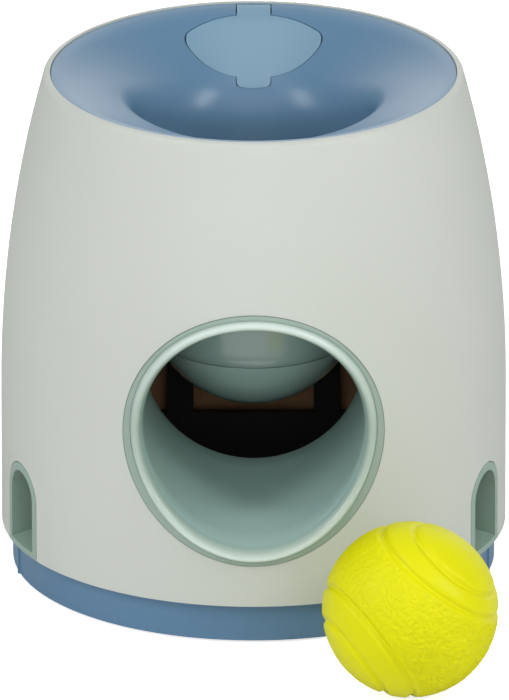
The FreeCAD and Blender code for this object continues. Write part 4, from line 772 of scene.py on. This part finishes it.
def funnel_underside(material):
    """The funnel's skirt, lugs and hinge block, with the dish's skin taken off to make room for the layer."""
    form = bmesh.new()
    form.from_mesh(nodes["funnel"].data)
    bmesh.ops.remove_doubles(form, verts=form.verts, dist=0.002 * MM)
    mesh = bpy.data.meshes.new("funnel_stock")
    form.to_mesh(mesh)
    form.free()
    if "custom_normal" in mesh.attributes:
        mesh.attributes.remove(mesh.attributes["custom_normal"])
    stock = bpy.data.objects.new("funnel_stock", mesh)
    scene.collection.objects.link(stock)
    return carved("funnel_underside", stock, dish_band("dish_skin", -2.0, 0.8, 1.0), "DIFFERENCE", material)


funnel_plastic = moulded("funnel_plastic", (100, 137, 167), 0.32, 0.004)
opening = column("opening", hatch_outline(0.05, 6.2, 68.5), UNDER_DISH, OVER_DISH)
dish = carved("funnel_dish", dish_band("dish_layer", 0, 1.8, DISH_EDGE - DISH_RIM), opening, "DIFFERENCE",
              funnel_plastic)
for piece in (dish, funnel_underside(funnel_plastic)):
    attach(piece, "body")
    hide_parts("funnel")


# Treat lid: the lighter hatch, a thin moulding that follows the dish. Its barrel turns on the pin under the
# rim, and its front tab is where a finger lifts it.

def lid_barrel(radius, half):
    """The round bar on the hinge line."""
    form = bmesh.new()
    bmesh.ops.create_cone(form, cap_ends=True, segments=32, radius1=radius * MM, radius2=radius * MM,
                          depth=2 * half * MM)
    bmesh.ops.rotate(form, cent=(0, 0, 0), matrix=Matrix.Rotation(math.pi / 2, 3, "Y"), verts=form.verts)
    bmesh.ops.translate(form, vec=Vector((0, HINGE_Y, HINGE_Z)) * MM, verts=form.verts)
    return form


lid_plastic = moulded("lid_plastic", (127, 162, 185), 0.32, 0.004)
lid = carved("lid_plate", dish_band("lid_layer", 0, 1.45, DISH_EDGE - DISH_RIM),
             column("lid_column", hatch_outline(0.4, 5.8, 68.1), UNDER_DISH, OVER_DISH), "INTERSECT",
             lid_plastic)
form = lid_barrel(1.2, 5.8)
form.from_mesh(lid.data)
form.to_mesh(lid.data)
form.free()
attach(lid, body_of_node("treat_lid"))
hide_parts("treat_lid")


# Screws: small steel cross-head screws with a pan head and a thread, which hold the base, the funnel, the
# frame, the port lining and the hopper. One is made, and a geometry tree sets them out.

def screw_head(material):
    """A pan head with a cross recess, its seat on the XY plane and its crown towards -Z."""
    radius, height, crown = 2.4, 2.0, 0.9
    slot_arm, slot_half, slot_depth = 1.35, 0.32, 1.1
    form = bmesh.new()
    profile = [(0, 0), (radius - 0.15, 0), (radius, -0.15), (radius, -(height - crown))]
    profile += [(radius * math.cos(a), -(height - crown) - crown * math.sin(a))
                for a in [math.pi / 2 * k / 6 for k in range(1, 6)]]
    profile.append((0, -height))
    verts = [form.verts.new((r * MM, 0, z * MM)) for r, z in profile]
    edges = [form.edges.new((verts[k], verts[k + 1])) for k in range(len(verts) - 1)]
    bmesh.ops.spin(form, geom=verts + edges, cent=(0, 0, 0), axis=(0, 0, 1), angle=2 * math.pi, steps=24)
    bmesh.ops.remove_doubles(form, verts=form.verts, dist=0.002 * MM)
    bmesh.ops.recalc_face_normals(form, faces=form.faces)
    mesh = bpy.data.meshes.new("screw_head")
    form.to_mesh(mesh)
    form.free()
    head = bpy.data.objects.new("screw_head", mesh)
    scene.collection.objects.link(head)
    form = bmesh.new()
    for wide, deep in ((slot_arm, slot_half), (slot_half, slot_arm)):
        blade = bmesh.ops.create_cube(form, size=2 * MM)["verts"]
        bmesh.ops.scale(form, vec=(wide, deep, slot_depth), verts=blade)
        bmesh.ops.translate(form, vec=(0, 0, -(height + 0.1) * MM), verts=blade)
    cutter_mesh = bpy.data.meshes.new("cross_cutter")
    form.to_mesh(cutter_mesh)
    form.free()
    cutter = bpy.data.objects.new("cross_cutter", cutter_mesh)
    scene.collection.objects.link(cutter)
    carve = head.modifiers.new("cross", "BOOLEAN")
    carve.object = cutter
    carve.solver = "EXACT"
    carve.use_self = True
    plain = bpy.data.meshes.new_from_object(head.evaluated_get(bpy.context.evaluated_depsgraph_get()))
    plain.shade_smooth()
    plain.set_sharp_from_angle(angle=math.radians(35))
    plain.materials.clear()
    plain.materials.append(material)
    bpy.data.objects.remove(head)
    bpy.data.objects.remove(cutter)
    return plain


def screw_tree(sizes, head, material):
    """A whole screw, placed on each point of the start mesh and turned along the point's own aim."""
    tree, start, end = growing_tree("screw_set", sizes)
    add, link = tree.nodes.new, tree.links.new
    shape = add("GeometryNodeObjectInfo")
    shape.inputs["Object"].default_value = head
    shank = add("GeometryNodeMeshCylinder")
    shank.inputs["Vertices"].default_value = 16
    link(start.outputs["Shank Radius"], shank.inputs["Radius"])
    link(start.outputs["Shank Length"], shank.inputs["Depth"])
    middle = add("ShaderNodeCombineXYZ")
    link(worked(tree, "MULTIPLY", start.outputs["Shank Length"], 0.5), middle.inputs["Z"])
    stem = add("GeometryNodeTransform")
    link(shank.outputs["Mesh"], stem.inputs["Geometry"])
    link(middle.outputs[0], stem.inputs["Translation"])
    turns = worked(tree, "DIVIDE", start.outputs["Shank Length"], start.outputs["Thread Pitch"])
    thread = add("GeometryNodeCurveSpiral")
    thread.inputs["Resolution"].default_value = 16
    link(turns, thread.inputs["Rotations"])
    link(start.outputs["Shank Radius"], thread.inputs["Start Radius"])
    link(start.outputs["Shank Radius"], thread.inputs["End Radius"])
    link(start.outputs["Shank Length"], thread.inputs["Height"])
    crest = add("GeometryNodeCurvePrimitiveCircle")
    crest.inputs["Resolution"].default_value = 4
    link(start.outputs["Thread Size"], crest.inputs["Radius"])
    ridge = add("GeometryNodeCurveToMesh")
    ridge.inputs["Fill Caps"].default_value = True
    link(thread.outputs[0], ridge.inputs["Curve"])
    link(crest.outputs[0], ridge.inputs["Profile Curve"])
    whole = add("GeometryNodeJoinGeometry")
    link(shape.outputs["Geometry"], whole.inputs[0])
    link(stem.outputs["Geometry"], whole.inputs[0])
    link(ridge.outputs["Mesh"], whole.inputs[0])
    aim = add("GeometryNodeInputNamedAttribute")
    aim.data_type = "FLOAT_VECTOR"
    aim.inputs["Name"].default_value = "aim"
    turn = add("FunctionNodeAlignEulerToVector")
    turn.axis = "Z"
    link(aim.outputs["Attribute"], turn.inputs["Vector"])
    place = add("GeometryNodeInstanceOnPoints")
    link(start.outputs["Geometry"], place.inputs["Points"])
    link(whole.outputs[0], place.inputs["Instance"])
    link(turn.outputs[0], place.inputs["Rotation"])
    closing(tree, place.outputs[0], end, material)
    return tree


def screw_set(name, seats, length):
    """Screws whose heads sit at the given points (mm) and whose shanks run along the given directions."""
    start = bpy.data.meshes.new(name + "_points")
    start.from_pydata([Vector(point) * MM for point, aim in seats], [], [])
    aims = start.attributes.new("aim", "FLOAT_VECTOR", "POINT")
    for k, (point, aim) in enumerate(seats):
        aims.data[k].vector = aim
    sizes = dict(screw_sizes)
    sizes["Shank Length"] = length * MM
    piece = grown(name + "_piece", start, screws, sizes, bright_steel)
    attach(piece, "body")
    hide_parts(name)


def round_the_axis(radius, azimuths, height, aim):
    """Seats on a circle round the toy's upright axis (mm, degrees)."""
    return [((radius * math.cos(math.radians(a)), radius * math.sin(math.radians(a)), height), aim)
            for a in azimuths]


screw_sizes = {"Shank Length": 6.0 * MM, "Shank Radius": 1.05 * MM, "Thread Pitch": 0.8 * MM,
               "Thread Size": 0.18 * MM}
head_shape = bpy.data.objects.new("head_shape", screw_head(bright_steel))
scene.collection.objects.link(head_shape)
screws = screw_tree(screw_sizes, head_shape, bright_steel)
up, left, right = (0, 0, 1), (-1, 0, 0), (1, 0, 0)
screw_set("base_screws", round_the_axis(80.0, (40, 140, 220, 320), 9.0, up), 16.0)
screw_set("funnel_screws", round_the_axis(62.8, (45, 135, 225, 315), 162.5, up), 6.5)
screw_set("frame_screws", [((x, y, 5), up) for x, y in ((38, -2), (-38, -2), (30, 26), (-30, 26))], 5.3)
screw_set("tunnel_screws", [((44, -3, 77), left), ((-44, -3, 77), right)], 5.6)
screw_set("hopper_screws", [((44, 46, 90.5), left), ((44, 46, 104.6), left),
                            ((-44, 46, 90.5), right), ((-44, 46, 104.6), right)], 5.6)
bpy.data.objects.remove(head_shape)


# Ball: one piece of soft yellow-green rubber, 60 mm across. Two pairs of round seam grooves part smooth
# strips and caps from a middle field with a wrinkled, pebbled grip.

BALL_MIDDLE = Vector((53.2, -127.0, 30.0))
BALL_RADIUS = 30.0
SEAMS = [((-0.783, -0.355, -0.511), 17.9), ((-0.769, -0.302, -0.563), 25.1),
         ((0.592, 0.025, 0.806), 17.1), ((0.629, -0.029, 0.777), 24.2)]


def ball_start():
    """The ball's globe with its grooves, and how strongly each point takes the pebbles."""
    steps, groove_half, groove_depth = 128, 1.15, 1.35
    cap_share, worn_share, fresh_side = 0.3, 0.35, Vector((0.55, -0.35, -0.76))

    def faded(away, width):
        """From nothing at a line up to one, a width (mm) away from it."""
        return max(0, min(1, away / width))
    form = bmesh.new()
    for axis in range(3):
        for side in (1, -1):
            grid = []
            for i in range(steps + 1):
                row = []
                for k in range(steps + 1):
                    across = math.tan((i / steps - 0.5) * math.pi / 2)
                    along = math.tan((k / steps - 0.5) * math.pi / 2) * side
                    point = [0, 0, 0]
                    point[axis], point[(axis + 1) % 3], point[(axis + 2) % 3] = side, across, along
                    row.append(form.verts.new(Vector(point).normalized()))
                grid.append(row)
            for i in range(steps):
                for k in range(steps):
                    form.faces.new((grid[i][k], grid[i + 1][k], grid[i + 1][k + 1], grid[i][k + 1]))
    bmesh.ops.remove_doubles(form, verts=form.verts, dist=1e-5)
    seams = [(Vector(normal).normalized(), math.acos(offset / BALL_RADIUS)) for normal, offset in SEAMS]
    field = []
    for vert in form.verts:
        direction = vert.co.normalized()
        sides = [(math.acos(max(-1, min(1, direction.dot(normal)))) - opening) * BALL_RADIUS
                 for normal, opening in seams]
        sink = sum(groove_depth * math.exp(-(side / groove_half) ** 2) for side in sides)
        # The middle field lies outside both outer grooves, and the caps inside the inner ones.
        middle = min(faded(sides[0] - 1.2, 1.5), faded(sides[2] - 1.2, 1.5))
        caps = max(faded(-sides[1] - 1.5, 2), faded(-sides[3] - 1.5, 2))
        fresh = 0.5 + 0.5 * direction.dot(fresh_side)
        field.append(max(middle, cap_share * caps) * (worn_share + (1 - worn_share) * fresh))
        vert.co = (BALL_MIDDLE + direction * (BALL_RADIUS - sink)) * MM
    bmesh.ops.recalc_face_normals(form, faces=form.faces)
    mesh = bpy.data.meshes.new("ball_start")
    form.to_mesh(mesh)
    form.free()
    mesh.shade_smooth()
    mask = mesh.attributes.new("field", "FLOAT", "POINT")
    mask.data.foreach_set("value", field)
    return mesh


def pebble_tree(sizes, material):
    """Wrinkles pressed in the skin along the middle lines of a noise, as deep as the field allows."""
    tree, start, end = growing_tree("pebbled_skin", sizes)
    add, link = tree.nodes.new, tree.links.new
    where = add("GeometryNodeInputPosition")
    wrinkle = add("ShaderNodeTexNoise")
    wrinkle.inputs["Detail"].default_value = 1.0
    wrinkle.inputs["Distortion"].default_value = 0.6
    link(where.outputs[0], wrinkle.inputs["Vector"])
    link(worked(tree, "DIVIDE", 1.0, start.outputs["Pebble Size"]), wrinkle.inputs["Scale"])
    ridge = worked(tree, "ABSOLUTE", worked(tree, "SUBTRACT", wrinkle.outputs["Fac"], 0.5))
    level = add("ShaderNodeMapRange")
    level.inputs["From Max"].default_value = 0.13
    level.inputs["To Max"].default_value = -1.0
    link(ridge, level.inputs["Value"])
    mask = add("GeometryNodeInputNamedAttribute")
    mask.data_type = "FLOAT"
    mask.inputs["Name"].default_value = "field"
    amount = worked(tree, "MULTIPLY", level.outputs["Result"], mask.outputs["Attribute"])
    height = worked(tree, "MULTIPLY", amount, start.outputs["Pebble Height"])
    outward = add("GeometryNodeInputNormal")
    push = add("ShaderNodeVectorMath")
    push.operation = "SCALE"
    link(outward.outputs[0], push.inputs["Vector"])
    link(height, push.inputs["Scale"])
    shift = add("GeometryNodeSetPosition")
    link(start.outputs["Geometry"], shift.inputs["Geometry"])
    link(push.outputs["Vector"], shift.inputs["Offset"])
    closing(tree, shift.outputs[0], end, material)
    return tree


ball_rubber = moulded("ball_rubber", (232, 230, 0), 0.4, 0.02, skin_size=0.35)
ball_rubber.node_tree.nodes["Principled BSDF"].inputs["Specular IOR Level"].default_value = 0.2
pebble_sizes = {"Pebble Size": 1.9 * MM, "Pebble Height": 0.6 * MM}
ball = grown("rubber_ball", ball_start(), pebble_tree(pebble_sizes, ball_rubber), pebble_sizes, ball_rubber)
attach(ball, "loose_ball")
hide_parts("ball")
